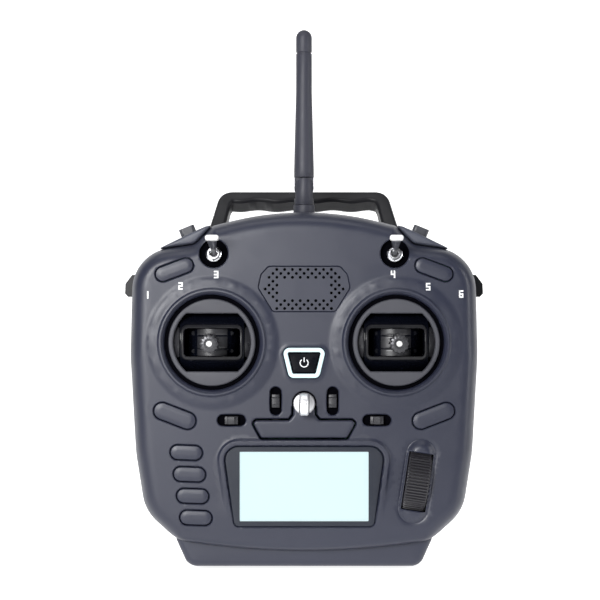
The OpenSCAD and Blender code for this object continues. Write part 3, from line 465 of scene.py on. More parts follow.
# Near-white and half metallic, so the strap hook reads white: partly its plated silver, partly painted
# reflection.
SILVER_PAINTED_REFLECTION = material("silver_painted_reflection", (0.86, 0.86, 0.88), 0.30, variation=0.03, metal=0.55)
CHROME = material("bright_chrome", (0.72, 0.73, 0.76), 0.16, variation=0.03, metal=1.0)
STEEL = material("plated_steel", (0.50, 0.50, 0.52), 0.30, grain=0.15, metal=1.0)
BLUED = material("dark_steel", (0.055, 0.055, 0.060), 0.30, grain=0.15, metal=0.5)
WHITE = material("white_cap", (0.72, 0.72, 0.71), 0.35, variation=0.03)
PRINT = material("white_print", (0.78, 0.79, 0.80), 0.55, variation=0.02)
LIGHT = material("light_guide", (0.40, 0.52, 0.56), 0.35, variation=0.02, glow=((0.74, 0.97, 1.0), 0.55))
BOARD = material("board_green", (0.02, 0.11, 0.05), 0.35, variation=0.15)
BRASS = material("contacts", (0.72, 0.56, 0.26), 0.25, metal=1.0)
CELL = material("cell_wrap", (0.02, 0.10, 0.26), 0.3, variation=0.08, coat=0.3)


# ---------------------------------------------------------------- camera, lights and floor

def add_camera():
    """Straight front view from an arm's length, with the object a little right of the centre."""
    data = bpy.data.cameras.new("camera")
    data.lens = FOCAL_LENGTH
    data.dof.use_dof = False
    data.clip_start = 0.05
    camera = bpy.data.objects.new("camera", data)
    camera.location = [c * MM for c in CAMERA_PLACE]
    camera.rotation_euler = (math.radians(90), 0, 0)
    bpy.context.scene.collection.objects.link(camera)
    bpy.context.scene.camera = camera


def add_light(name, place, aim, size, power):
    data = bpy.data.lights.new(name, "AREA")
    data.shape = "RECTANGLE"
    data.size, data.size_y = size
    data.energy = power
    light = bpy.data.objects.new(name, data)
    light.location = place
    light.rotation_euler = (Vector(aim) - Vector(place)).to_track_quat("-Z", "Y").to_euler()
    bpy.context.scene.collection.objects.link(light)


def add_studio():
    world = bpy.data.worlds.new("studio")
    world.use_nodes = True
    background = world.node_tree.nodes["Background"]
    background.inputs["Color"].default_value = (0.92, 0.95, 1, 1)
    background.inputs["Strength"].default_value = 0.15
    bpy.context.scene.world = world
    aim = (0, 0, 0.10)
    add_light("key_softbox", (-0.30, -0.76, 0.30), aim, (0.32, 0.28), 7.6)
    add_light("top_softbox", (-0.05, -0.10, 0.75), aim, (0.7, 0.3), 1.4)
    add_light("right_softbox", (0.85, -0.30, 0.25), aim, (0.15, 0.8), 3)
    bpy.context.scene.view_settings.view_transform = "Standard"


def floor_material():
    """Pale floor that shines behind the object, as a backlit table does."""
    mat = material("floor", (0.92, 0.92, 0.92), 0.6, variation=0.01, patches=2, glow=((1, 1, 1), 1.0))
    nodes, links = mat.node_tree.nodes, mat.node_tree.links
    split = nodes.new("ShaderNodeSeparateXYZ")
    links.new(nodes.new("ShaderNodeTexCoord").outputs["Object"], split.inputs["Vector"])
    rise = nodes.new("ShaderNodeMapRange")
    rise.inputs["From Min"].default_value = -0.16
    rise.inputs["From Max"].default_value = -0.02
    rise.inputs["To Max"].default_value = 0.85
    links.new(split.outputs["Y"], rise.inputs["Value"])
    links.new(rise.outputs["Result"], nodes["Principled BSDF"].inputs["Emission Strength"])
    return mat


def add_floor():
    """Pale sweep: a floor that curves up into a backdrop."""
    w, front, back, r, top = 2.5, -1.6, 0.9, 0.6, 2.2
    line = [(front, 0)] + [
        (back + r * math.sin(a), r - r * math.cos(a)) for a in np.linspace(0, math.pi / 2, 13)
    ] + [(back + r, top)]
    verts = [(x, y, z - 0.0002) for y, z in line for x in (-w, w)]
    faces = [(2 * i, 2 * i + 1, 2 * i + 3, 2 * i + 2) for i in range(len(line) - 1)]
    mesh = bpy.data.meshes.new("floor")
    mesh.from_pydata(verts, [], faces)
    mesh.materials.append(floor_material())
    for polygon in mesh.polygons:
        polygon.use_smooth = True
    floor = bpy.data.objects.new("floor", mesh)
    bpy.context.scene.collection.objects.link(floor)


add_camera()
add_studio()
add_floor()


# ---------------------------------------------------------------- front of the case

def case_corners():
    """Right side of the case outline, from the bottom to the shoulder, with its two arches."""
    h = CASE_TOP - 0.2
    arch, shoulder_z = h + 4.3, h - 5.8
    slope = math.atan2(arch - shoulder_z, SHOULDER_X)
    belly_slope = math.atan2(BELLY_DROP, BELLY_X)
    right = [
        (BELLY_X, BELLY_Z, 13), (HALF_W - 6.5, 26, 20), (HALF_W - 2.4, 52, 60), (HALF_W, 95, 100),
        (HALF_W - 1.2, h - 17.8, 19), (SHOULDER_X + 8, h - 14, 5), (SHOULDER_X, shoulder_z, 2),
    ]
    bottom = [(0, BELLY_Z - BELLY_DROP, (BELLY_X - 4.5) / math.sin(belly_slope))]
    top = [(0, arch, (SHOULDER_X - 8) / math.sin(slope))]
    return bottom + right + top + mirrored(right)


CASE = resampled(rounded(case_corners()), 1.5)


def spot(node):
    """Middle of a node as (x, z)."""
    return middle(node)[[0, 2]]


def key_outline(node, grow=0.0):
    return pill(BUTTON_SIZE[node], BUTTON_TILT[node], spot(node), grow)


def lens_outline():
    """Outline of the screen lens, which is wider at its top."""
    low, high = box("screen_lens")
    return symmetric([(30.5, low[2], 2.5), (35.4, high[2], 6)])


LENS = lens_outline()
RING_TOP, RING_BOTTOM, RING_CORNER = 9.65, 6.5, 2.6
RING_LOW, RING_HIGH = spot("power_button")[1] - 6.55, spot("power_button")[1] + 6.55
RING = rounded([
    (-RING_BOTTOM, RING_LOW, RING_CORNER), (RING_BOTTOM, RING_LOW, RING_CORNER),
    (RING_TOP, RING_HIGH, RING_CORNER), (-RING_TOP, RING_HIGH, RING_CORNER),
])
SLOT_X, SLOT_Z = 5.4, 12.65
WHEEL_PLACE = spot("scroll_wheel")
WHEEL_SLOT = turned([(-SLOT_X, -SLOT_Z), (SLOT_X, -SLOT_Z), (SLOT_X, SLOT_Z), (-SLOT_X, SLOT_Z)],
                    -WHEEL_TILT, WHEEL_PLACE)
WHEEL_PADS = pill((36.5, 12.6), 90 - WHEEL_TILT, WHEEL_PLACE)
TRIMS = {
    "trim_left_vertical": 90, "trim_right_vertical": 90,
    "trim_left_horizontal": 0, "trim_right_horizontal": 0,
}
TRIM_SLOT = (12.4, 5.0)
HOOK = spot("strap_hook")


def label_outline(amount=0.0):
    """T-shaped plate whose neck opens round the strap hook."""
    low = box("label_plate")[0][2]
    right = [
        (18.7, low, 1.0), (22.2, 65.6, 1.0), (20.9, 66.8, 0.6), (6.6, 66.8, 1.4),
        (4.7, 69.2, 1.2), (4.7, HOOK[1] - 1.5, 0.4),
    ]
    outline = symmetric(right, 15)
    return shrunk(outline, amount) if amount else outline


def grille_outline(amount=0.0):
    z = spot("speaker_grille")[1]
    right = [(13.5, z - 9.6, 1.5), (19.8, z + 0.6, 2.5), (18.6, z + 6.2, 2.5), (15.5, z + 9.6, 1.5)]
    outline = symmetric(right, 12)
    return shrunk(outline, amount) if amount else outline


def edge_drop(d, reach, depth, power=EDGE_POWER):
    """How far a rounded edge falls back at distance d from the outline."""
    t = np.clip(1 - d / reach, 0, 1)
    return depth * (1 - (1 - t ** power) ** (1 / power))


# Radii round a gimbal between which its lip and its broad rim fall back, and of the groove between.
LIP_SPAN, RIM_SPAN, GROOVE_R = (22.9, 24.0), (25.8, 29.5), 24.9


def crown(points):
    """The broad curve of the face: highest in the middle, falling back to the shoulders."""
    x, z = points[:, 0], points[:, 1]
    return 0.6 * (x / HALF_W) ** 2 + 0.8 * smooth_step(z, 128, 158) + 0.8 * smooth_step(-z, -26, -8)


def face(points):
    """Depth of the front surface, without the fillets at its openings."""
    points = np.asarray(points, float)
    x, z = points[:, 0], points[:, 1]
    low_edge = (1 - smooth_step(z, 14, 24)) * (1 - smooth_step(np.abs(x), HALF_W - 25, HALF_W - 17))
    d = distance(points, CASE)
    rounding = (1 - low_edge) * edge_drop(d, 7.5, SEAM_Y - FACE_Y - 1.5) + low_edge * edge_drop(d, 3.2, 6.5)
    y = FACE_Y + crown(points) * (1 - rounding / (SEAM_Y - FACE_Y)) + rounding
    for place in GIMBALS.values():
        r = np.hypot(x - place[0], z - place[2])
        y -= 1.0 * (1 - smooth_step(r, *LIP_SPAN)) + 0.9 * (1 - smooth_step(r, *RIM_SPAN))
        y += 0.2 * (1 - smooth_step(np.abs(r - GROOVE_R), 0.2, 1.6))
    from_lens = distance(points, LENS) * np.where(inside(points, LENS), -1, 1)
    fade = smooth_step(z, 22, 44)
    y -= 1.1 * fade * smooth_step(from_lens, 0.1, 0.7) * (1 - smooth_step(from_lens, 2.3, 3.6))
    from_pads = distance(points, WHEEL_PADS) * np.where(inside(points, WHEEL_PADS), -1, 1)
    y -= 2.2 * (1 - smooth_step(from_pads, -3.6, 0.1)) ** 0.6
    y += 0.3 * (1 - smooth_step(np.abs(from_pads - 0.1), 0.1, 0.8))
    from_ring = distance(points, RING) * np.where(inside(points, RING), -1, 1)
    y -= 0.35 * (1 - smooth_step(from_ring, 0.9, 1.6))
    return y


def fillet(points, outlines, size):
    """Small rounding of the face where it meets its openings."""
    drop = np.zeros(len(points))
    for outline in outlines:
        d = distance(points, outline)
        drop = np.maximum(drop, edge_drop(d, size, size, 2.0))
    return drop


def front_openings():
    openings = [circle((p[0], p[2]), GIMBAL_HOLE_R, 128) for p in GIMBALS.values()]
    openings += [circle((p[0], p[2]), RECESS_R, 64) for p in TOGGLES.values()]
    openings += [resampled(key_outline(n, 0.35), 0.8) for n in BUTTON_SIZE]
    openings += [resampled(pill(TRIM_SLOT, tilt, spot(n)), 0.8) for n, tilt in TRIMS.items()]
    openings += [
        resampled(WHEEL_SLOT, 1.2), resampled(shrunk(LENS, -0.15), 1.2), resampled(shrunk(RING, -0.3), 0.8),
        resampled(label_outline(-0.7), 0.8), resampled(grille_outline(-0.15), 1.0),
    ]
    return openings


def make_front_shell():
    openings = front_openings()
    near = [resampled(o, 0.6) for o in openings]

    def field(points):
        return face(points) + fillet(np.asarray(points, float), near, 0.45)

    guides = [circle((c[0], c[2]), radius, 150)
              for c in GIMBALS.values() for radius in (27.9, 28.7, 29.5, 30.3)]
    guides += [resampled(shrunk(WHEEL_PADS, amount), 0.8) for amount in (2.7, 1.8, 0.9, 0.1, -0.3, -0.9)]
    guides += [resampled(shrunk(LENS, -amount), 1.0) for amount in (0.9, 1.6, 2.4, 3.0, 3.7)]
    # The walls of its openings are near-black: painted shade in the gaps round the buttons, sticks, switches,
    # wheel, screen and label.
    shell = skin("front_case", CASE, openings, field, SHELL, guides=guides, pitch=2.2, depth=3.2, rim=SEAM_Y,
                 rings=(0.15, 0.45, 1.1, 2.0, 3.2), edge_rings=(0.25, 0.6, 1.1, 1.8, 2.7, 3.9, 5.4, 7.4),
                 dark=SHADE_BLACK)
    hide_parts("front_shell")


make_front_shell()


# ---------------------------------------------------------------- buttons and label

def make_buttons():
    for node in BUTTON_SIZE:
        outline = resampled(key_outline(node), 0.7)
        proud = face(np.array([spot(node)]))[0] - box(node)[0][1]

        def field(points, outline=outline, proud=proud):
            d = distance(points, outline)
            return face(points) - min(proud, 0.28) * smooth_step(d, 0.3, 2.0) + edge_drop(d, 0.5, 0.45, 2.0)

        # The sides of each cap are near-black: painted shade in the gap round it.
        key = skin(f"{node}_cap", outline, [], field, SHELL, node, pitch=1.2, depth=2.2, dark=SHADE_BLACK,
                   edge_rings=(0.15, 0.35, 0.65, 1.1, 1.7, 2.4))
        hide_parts(node)


def make_label():
    outline = label_outline()

    def field(points):
        d = distance(points, outline)
        return face(points) - 0.75 + edge_drop(d, 1.0, 0.75, 1.6)

    # The plate's edge is near-black: painted shade in the gap round it.
    plate = skin("label_plate_face", resampled(outline, 0.8), [], field, SHELL, pitch=1.5,
                 edge_rings=(0.15, 0.4, 0.8, 1.2), depth=1.6, dark=SHADE_BLACK)
    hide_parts("label_plate")


make_buttons()
make_label()


# ---------------------------------------------------------------- screen and power button

def make_screen():
    lens_y = box("screen_lens")[0][1]
    view = resampled(display_outline(), 1.0)
    outline = resampled(LENS, 0.9)

    def field(points):
        d = distance(points, outline)
        return lens_y + 0.25 + edge_drop(d, 0.5, 0.4, 2.0)

    # The border's outer and inner walls are near-black: painted shade round the lens and the display.
    border = skin("screen_border", outline, [view], field, LENS_BLACK, pitch=1.0, rings=(0.2, 0.5),
                  edge_rings=(0.15, 0.35, 0.7), depth=0.7, dark=SHADE_BLACK)
    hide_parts("screen_lens")
    panel = skin("screen_panel", shrunk(view, -0.8), [], level(lens_y + 0.75), DISPLAY, pitch=4, depth=0.4)


def display_outline():
    z = middle("screen_lens")[2]
    half_w, half_h = DISPLAY_SIZE[0] / 2, DISPLAY_SIZE[1] / 2
    return rounded([(-half_w, z - half_h, 0.4), (half_w, z - half_h, 0.4),
                    (half_w, z + half_h, 0.4), (-half_w, z + half_h, 0.4)])


def make_power():
    ring_y = box("power_light_ring")[0][1]
    key = resampled(shrunk(resampled(RING, 0.4), 1.8), 0.5)
    outline = resampled(RING, 0.6)

    def ring_field(points):
        d = np.minimum(distance(points, outline), distance(points, key))
        return ring_y + edge_drop(d, 0.7, 0.5, 2.0)

    # The ring's walls are near-black: painted shade in the gaps round it.
    ring = skin("power_ring", outline, [key], ring_field, LIGHT, pitch=1.0, rings=RIM_RINGS,
                edge_rings=RIM_RINGS, depth=1.2, dark=SHADE_BLACK)
    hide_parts("power_light_ring")
    cap_y = box("power_button")[0][1]
    cap_outline = shrunk(key, 0.35)

    def cap_field(points):
        d = distance(points, cap_outline)
        return cap_y + 0.25 - 0.2 * smooth_step(d, 0.3, 3.0) + edge_drop(d, 0.7, 0.6, 2.0)

    # The cap's sides are near-black: painted shade in the gap round it.
    cap = skin("power_cap", cap_outline, [], cap_field, GLOSS, "power_button", pitch=0.8,
               edge_rings=(0.15, 0.4, 0.7, 1.1), depth=1.6, dark=SHADE_BLACK)
    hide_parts("power_button")
    place = np.array([0, cap_y + 0.02, spot("power_button")[1]])
    mark_r, line = 1.75, 0.42
    arc = stroke([(mark_r * math.sin(a), mark_r * math.cos(a)) for a in np.radians(np.linspace(38, 322, 25))],
                 line)
    bar = stroke([(0, 2.4), (0, 0.35)], line)
    for name, strip in (("power_mark_arc", arc), ("power_mark_bar", bar)):
        print_on(name, strip, place, PRINT, "power_button")


def stroke(points, width):
    """Strip of faces along a line of (x, z) points."""
    p = np.array(points, float)
    u = np.gradient(p, axis=0)
    n = np.c_[-u[:, 1], u[:, 0]] / np.linalg.norm(u, axis=1)[:, None] * width / 2
    verts = np.concatenate([p + n, p - n])
    count = len(p)
    return verts, [(k, k + 1, count + k + 1, count + k) for k in range(count - 1)]


def print_on(name, strip, place, ink, body="case", depth=0.06):
    """Thin printed mark in front of a place, facing the front."""
    flat, faces = strip
    n = len(flat)
    front = np.c_[flat[:, 0] + place[0], np.full(n, place[1] - depth), flat[:, 1] + place[2]]
    back = front + [0, depth, 0]
    edges = [(a, b) for f in faces for a, b in zip(f, f[1:] + f[:1])]
    rim = [(a, b) for a, b in edges if (b, a) not in edges]
    faces = list(faces) + [(a, b, b + n, a + n) for a, b in rim]
    return new_object(name, np.concatenate([front, back]), faces, ink, body)


make_screen()
make_power()


# ---------------------------------------------------------------- stick units

WINDOW_R, INSERT_R = 16.9, 19.0
FRAME_R, CHEEK_R, BLOCK_R = 14.5, 13.9, 11.6


def drum_y(side, z, radius):
    centre = GIMBALS[side]
    return centre[1] - np.sqrt(np.maximum(radius ** 2 - (z - centre[2]) ** 2, 0.0))


def local(outline, side):
    return outline + np.array([GIMBALS[side][0], GIMBALS[side][2]])


def make_bezel(side):
    centre = GIMBALS[side][[0, 2]]
    front = box("gimbal_bezels")[0][1]
    a = np.radians(np.linspace(-48.6, 48.6, 33))
    right = WINDOW_R * np.c_[np.cos(a), np.sin(a)]
    window = local(np.concatenate([right, -right]), side)
    insert = circle(centre, INSERT_R, 128)

    def field(points):
        d = np.minimum(distance(points, insert), distance(points, window))
        return front + edge_drop(d, 0.6, 0.5, 2.0)

    flat = skin(f"bezel_{side}", insert, [resampled(window, 0.8)], field, GREY, pitch=2.0,
                rings=RIM_RINGS, edge_rings=RIM_RINGS, depth=2.0, dark=GREY)
    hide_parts("gimbal_bezels")
    # Near-black sheet behind the gap between bezel and lip: painted shade in the groove round the gimbal.
    groove = skin(f"bezel_groove_shade_{side}", circle(centre, 21.7, 96), [window], level(front + 1.9), SHADE_BLACK,
                  pitch=4, rings=(0.3,), edge_rings=(0.3,), depth=0.8)


def make_yoke(side):
    """Raised frame round the slot of the drum."""
    body = f"yoke_{side}"
    slot = resampled(local(rectangle(12.2, 6.2, 1.8, 12), side), 0.7)
    outline = resampled(local(rectangle(13.4, 7.9, 2.8, 12), side), 0.7)

    def field(points):
        d = np.minimum(distance(points, outline), distance(points, slot))
        return drum_y(side, points[:, 1], FRAME_R) - 0.6 + edge_drop(d, 0.45, 0.45, 2.0)

    ring = skin(f"{body}_frame", outline, [slot], field, FRAME_GLOSS, body, pitch=0.8,
                rings=(0.15, 0.3, 0.45), edge_rings=(0.15, 0.3, 0.45), depth=2.5, dark=GLOSS)


def make_stick_end(side):
    """Knurled metal end: a ring of teeth round a pale centre."""
    node = f"stick_end_{side}"
    body = f"stick_{side}"
    low, high = box(node)
    teeth, per = 12, 6
    length = high[1] - low[1]
    rows = [(0.0, 0.72, 0.0), (0.35, 0.93, 0.5), (1.0, 1.0, 1.0), (length - 0.6, 1.0, 1.0),
            (length, 0.9, 0.6)]
    radius = (high[0] - low[0]) / 2
    count = teeth * per
    verts, faces = [], []
    for depth, scale, cut in rows:
        for k in range(count):
            a = 2 * math.pi * k / count
            groove = 0.5 - 0.5 * math.cos(teeth * a)
            r = radius * (scale - 0.20 * cut * groove ** 2)
            verts.append((r * math.cos(a), depth, r * math.sin(a)))
    faces += tube(len(rows), count)
    base = 0
    for scale, depth in [(0.50, 0.0), (0.46, 0.55), (0.0, 0.55)]:
        start = len(verts)
        verts += [(x, depth, z) for x, z in circle((0, 0), radius * scale, count)]
        faces += band(base, start, count)
        base = start
    place = middle(node)
    offset = np.array([place[0], low[1], place[2]])
    end = new_object(f"{node}_knurl", np.array(verts) + offset, faces, BLUED, body, 30)
    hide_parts(node)
    verts, faces = lathe([(0.01, 0.0), (1.0, 0.0), (1.25, 0.25), (1.25, 0.9)], 32)
    pin = new_object(f"{node}_centre", aimed(verts, offset + [0, 0.1, 0], (0, 1, 0)), faces, WHITE, body)


def make_lip(side):
    """Rolled lip round the gimbal opening, and the curved ends of the gimbal frame beside the drum."""
    centre = GIMBALS[side]
    end = rounded([(14.3, -7.6, 0.8), (16.7, -5.4, 0.8), (16.7, 5.4, 0.8), (14.3, 7.6, 0.8)])
    profile = [(20.75, 2.2), (20.78, 1.3), (21.0, 0.45), (21.45, -0.35), (22.1, -0.95), (22.8, -1.15),
               (23.5, -0.9), (24.1, -0.3)]
    verts, faces = hoop(centre, [(radius, FACE_Y + y) for radius, y in profile], 144)
    lip = new_object(f"gimbal_lip_{side}", verts, faces, SHELL, "case", 60)
    for sign in (-1, 1):
        patch = local(end, side)
        if sign < 0:
            patch = (patch * [-1, 1] + [2 * centre[0], 0])[::-1]

        def field(points):
            return drum_y(side, points[:, 1], CHEEK_R) + 0.5 * np.abs(points[:, 0] - centre[0]) - 7.1

        cheek = skin(f"gimbal_cheek_{side}_{'a' if sign < 0 else 'b'}", resampled(patch, 0.8), [], field,
                     BLOCK_GLOSS, pitch=0.8, edge_rings=(0.2, 0.5), depth=1.0)


def make_block(side):
    """Curved face of the cross arm, with two grooves across it."""
    body = f"stick_{side}"
    centre = GIMBALS[side]
    outline = local(rectangle(6.6, 5.9, 0.3), side)

    def field(points):
        dx, dz = points[:, 0] - centre[0], points[:, 1] - centre[2]
        groove = 0.35 * (1 - smooth_step(np.abs(np.abs(dz) - 2.9), 0.12, 0.45))
        return centre[1] - np.sqrt(BLOCK_R ** 2 - dx ** 2) - 0.05 + groove

    face_plate = skin(f"{body}_face", resampled(outline, 0.6), [], field, BLOCK_GLOSS, body, pitch=0.5,
                      edge_rings=(0.2,), depth=0.8)


for side in GIMBALS:
    make_bezel(side)
    make_lip(side)
    make_yoke(side)
    make_block(side)
    make_stick_end(side)


# ---------------------------------------------------------------- CAD meshes that keep their shape

def dress(node, finish, bevel):
    """Procedural material and softened edges on a CAD mesh that is shown as it is."""
    obj = bpy.data.objects[node]
    obj.data.materials.clear()
    obj.data.materials.append(finish)
    if bevel:
        weld = obj.modifiers.new("weld", "WELD")
        weld.merge_threshold = 0.01 * MM
        soften = obj.modifiers.new("soften", "BEVEL")
        soften.width = bevel * MM
        soften.segments = 2
        soften.limit_method = "ANGLE"
        soften.angle_limit = math.radians(40)
        soften.harden_normals = True


def dress_cad():
    unsoftened = ("speaker_grille", "circuit_boards", "lcd_module")
    finishes = {
        BLACK: ["gimbal_frames", "trim_switch_bodies", "tact_switches", "slider_lever_left",
                "slider_lever_right", "wheel_bracket", "slider_pots", "speaker"],
        GLOSS: ["yoke_left", "yoke_right", "stick_left", "stick_right"],
        SHELL: ["speaker_grille"],
        STEEL: ["toggle_bodies", "case_screws", "handle_screws", "board_screws", "usb_port"],
        SCREW_GLINT_GREY: ["gimbal_screws"],
        BOARD: ["circuit_boards"], BRASS: ["module_connector"],
        CELL: ["battery_cells"], WHIP: ["antenna_whip", "antenna_knuckle", "antenna_base"],
        # The trainer jack is near-black: its own black plastic, with painted shade inside its mouth.
        KNOB: ["toggle_lever_e", "toggle_lever_f"], SHADE_BLACK: ["trainer_jack"], LENS_BLACK: ["lcd_module"],
    }
    for finish, nodes in finishes.items():
        for node in nodes:
            dress(node, finish, 0 if node in unsoftened else 0.2)


dress_cad()


# ---------------------------------------------------------------- small parts of the front

def make_grille_shade():
    """Near-black sheet right behind the grille: painted shade seen through its holes."""
    back = box("speaker_grille")[1][1]
    shade_sheet = skin("grille_shade_sheet", grille_outline(0.5), [], level(back + 0.15), SHADE_BLACK, pitch=4, depth=0.3)


def make_trims():
    """Stepped knobs of the trim switches."""
    base_drop = 3.0
    profile = [(-2.9, 1.9), (-2.8, 1.3), (-1.7, 1.0), (-1.5, 0.15), (-1.25, 0.0), (1.25, 0.0),
               (1.5, 0.15), (1.7, 1.0), (2.8, 1.3), (2.9, 1.9), (2.9, base_drop)]
    across = [(-1.75, 0.5), (-1.6, 0.12), (-1.3, 0.0), (1.3, 0.0), (1.6, 0.12), (1.75, 0.5)]
    rows, cols = len(profile), len(across)
    for node, tilt in TRIMS.items():
        front = box(node)[0][1]
        centre = spot(node)
        drops = [min(drop + side_drop, base_drop) for _, drop in profile for _, side_drop in across]
        flat = turned([(u, v) for u, _ in profile for v, _ in across], tilt, centre)
        points = [(x, front + drop, z) for (x, z), drop in zip(flat, drops)]
        corners = [i * cols + k for i in range(rows - 1) for k in range(cols - 1)]
        faces = [(a, a + 1, a + cols + 1, a + cols) for a in corners]
        skirt = len(points)
        border = list(range(cols)) + [i * cols + cols - 1 for i in range(1, rows)]
        border += [(rows - 1) * cols + k for k in range(cols - 2, -1, -1)]
        border += [i * cols for i in range(rows - 2, 0, -1)]
        points += [(points[k][0], front + 3.4, points[k][2]) for k in border]
        n = len(border)
        faces += [(border[k], border[(k + 1) % n], skirt + (k + 1) % n, skirt + k) for k in range(n)]
        knob = new_object(f"{node}_knob", points, faces, TRIM_GREY, node, 25)
        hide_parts(node)
        # Near-black sheet at the bottom of the slot: painted shade under the knob.
        floor = pill((TRIM_SLOT[0] + 0.6, TRIM_SLOT[1] + 0.6), tilt, centre)
        well = skin(f"{node}_well", resampled(floor, 0.8), [], level(front + 3.7), SHADE_BLACK, pitch=2,
                    edge_rings=(0.4,), depth=0.5)


def make_wheel():
    """Ribbed wheel: a ring of fine ribs with rounded shoulders, on its tilted axle."""
    low, high = box("scroll_wheel")
    axle = pivot("wheel_spin")
    ribs, per = 70, 4
    half = 4.95
    radius = (high[1] - low[1]) / 2
    tooth = [0.0, 0.0, 0.75, 0.75]
    sections = [(-half, 2.6), (-half, 0.9), (-half + 0.45, 0.3), (-half + 0.9, 0.0), (half - 0.9, 0.0),
                (half - 0.45, 0.3), (half, 0.9), (half, 2.6)]
    count = ribs * per
    t = math.radians(WHEEL_TILT)
    along = np.array([math.cos(t), 0, -math.sin(t)])
    up = np.array([math.sin(t), 0, math.cos(t)])
    front = np.array([0, 1, 0])
    verts = []
    for u, drop in sections:
        for k in range(count):
            a = 2 * math.pi * (k + 0.25 * (k % per == 1) - 0.25 * (k % per == 3)) / count
            r = radius - max(drop, tooth[k % per])
            verts.append(axle + along * u + up * (r * math.sin(a)) + front * (r * math.cos(a)))
    faces = tube(len(sections), count) + caps(len(sections), count)
    wheel = new_object("wheel_ribs", verts, faces, WHEEL_GREY, "scroll_wheel", 30)
    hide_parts("scroll_wheel")


def make_front_toggle(side_name):
    """Polished lever that widens to a flat white cap, over a ringed bush."""
    node = f"toggle_lever_{side_name}"
    base = pivot(f"toggle_{side_name}_throw")
    rise = math.radians(TOGGLE_TILT + TOGGLE_UP)
    axis = np.array([0, -math.cos(rise), math.sin(rise)])
    verts, faces = lathe([(0.01, -1.2), (1.1, -0.9), (1.5, 0.0), (1.2, 0.9), (1.0, 1.8), (1.0, 3.2),
                          (1.12, 5.0), (1.25, 8.0), (1.3, TOGGLE_L - CAP_L + 0.4)], 32)
    wide = [(x * (1 + 0.75 * float(smooth_step(z, 3.0, TOGGLE_L - CAP_L))), y * 0.85, z) for x, y, z in verts]
    stem = new_object(f"{node}_stem", aimed(wide, base, axis), faces, STEEL, node, 40)
    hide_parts(node)
    outline = resampled(pill((5.9, 2.3)), 0.5)
    across = np.array([1.0, 0, 0])
    up = np.cross(across, axis)

    def place(points):
        along = TOGGLE_L - CAP_L / 2
        return (base + np.outer(points[:, 0], across) + np.outer(points[:, 2], up)
                + np.outer(points[:, 1] + along, axis))

    cap = slab(f"{node}_cap", outline, [], CAP_L, 0.35, place, WHITE, node, pitch=0.8)


def make_toggle_ring(node, base, axis, front):
    """Dress nut: a turned ring with a bright rim, a knurled edge and a dark bore."""
    profile = [(2.1, front - 1.6), (2.15, front + 0.15), (2.35, front + 0.4), (2.75, front + 0.4),
               (2.9, front + 0.2), (NUT_R, front - 0.1), (NUT_R, front - 1.6)]
    count = 48
    verts = []
    for r, h in profile:
        for k, (x, y) in enumerate(circle((0, 0), 1, count)):
            knurled = r - 0.10 * (k % 2) if r == NUT_R else r
            verts.append((knurled * x, knurled * y, h))
    ring = new_object(node, aimed(verts, base, axis), tube(len(profile), count), CHROME, "case", 30)
    return ring


def make_nuts():
    """Turned dress nuts of the four toggles."""
    rings = []
    rise = math.radians(TOGGLE_TILT)
    for name in TOGGLES:
        axis = (0, -math.cos(rise), math.sin(rise))
        rings.append(make_toggle_ring(f"toggle_nut_{name}", TOGGLES[name], axis, -1.3))
    for name, side in (("e", -1), ("f", 1)):
        lean = math.radians(SHOULDER_LEAN) * side
        axis = (math.sin(lean), 0, math.cos(lean))
        rings.append(make_toggle_ring(f"toggle_nut_{name}", pivot(f"toggle_{name}_throw"), axis, 1.2))
    for ring in rings:
        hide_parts("toggle_nuts")


def make_recess(side_name):
    """Cup that the toggle stands in, near-black as painted shade."""
    profile = [(RECESS_R - 0.1, FACE_Y + 1.3), (RECESS_R - 0.15, FACE_Y + 3.6), (2.6, FACE_Y + 3.6)]
    verts, faces = hoop(TOGGLES[side_name], profile, 64)
    cup = new_object(f"toggle_recess_{side_name}", verts, faces, SHADE_BLACK, "case", 30)


def make_hook():
    """Plated disc and the lug that a neck strap clips to, with a near-black ring as painted shadow round the
    disc and two dark strips as painted shade beside the lug.
    """
    low, high = box("strap_hook")
    centre = middle("strap_hook")
    r = (high[0] - low[0]) / 2
    profile = [(0.01, 2.3), (r - 1.3, 2.25), (r - 0.5, 1.95), (r - 0.12, 1.3), (r - 0.1, -1.2)]
    verts, faces = lathe(profile, 64)
    disc = new_object("hook_disc", aimed(verts, (centre[0], FACE_Y, centre[2]), (0, -1, 0)), faces, SILVER_PAINTED_REFLECTION)
    # Near-black ring round the disc, set a little high: painted shadow, deepest above the disc.
    verts, faces = lathe([(r + 0.55, 0.35), (r + 0.5, -0.6)], 64)
    shadow_centre = (centre[0], FACE_Y, centre[2] + 0.25)
    shadow_ring = new_object("hook_shadow_ring", aimed(verts, shadow_centre, (0, -1, 0)), faces, SHADE_BLACK)
    bar = 0.95 * r
    root, under, over = FACE_Y - 1.5, centre[2] - bar - 0.3, centre[2] + bar
    corners = [(low[1], under, 4.3), (low[1], over, 4.3), (root, over, 0.3), (root, under, 0.3)]
    outline = resampled(rounded(corners), 0.8)[::-1]
    lug = slab("hook_lug", outline, [circle((HOOK_EYE_Y, centre[2]), 2.3, 40)], 3.8, 0.7,
               lambda p: np.c_[p[:, 1] + centre[0], p[:, 0], p[:, 2]], SILVER_PAINTED_REFLECTION, pitch=1.2)
    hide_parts("strap_hook")
    # Two dark strips beside the lug: painted shade in the slots.
    for side in (-1, 1):
        edge = [(-0.17, -bar + 0.5), (0.17, -bar + 0.5), (0.17, bar - 0.5), (-0.17, bar - 0.5)]
        strip = print_on(f"hook_slot_shade_{'a' if side < 0 else 'b'}", (np.array(edge), [(0, 1, 2, 3)]),
                         (centre[0] + side * 2.1, FACE_Y - 2.28, centre[2]), BLACK)


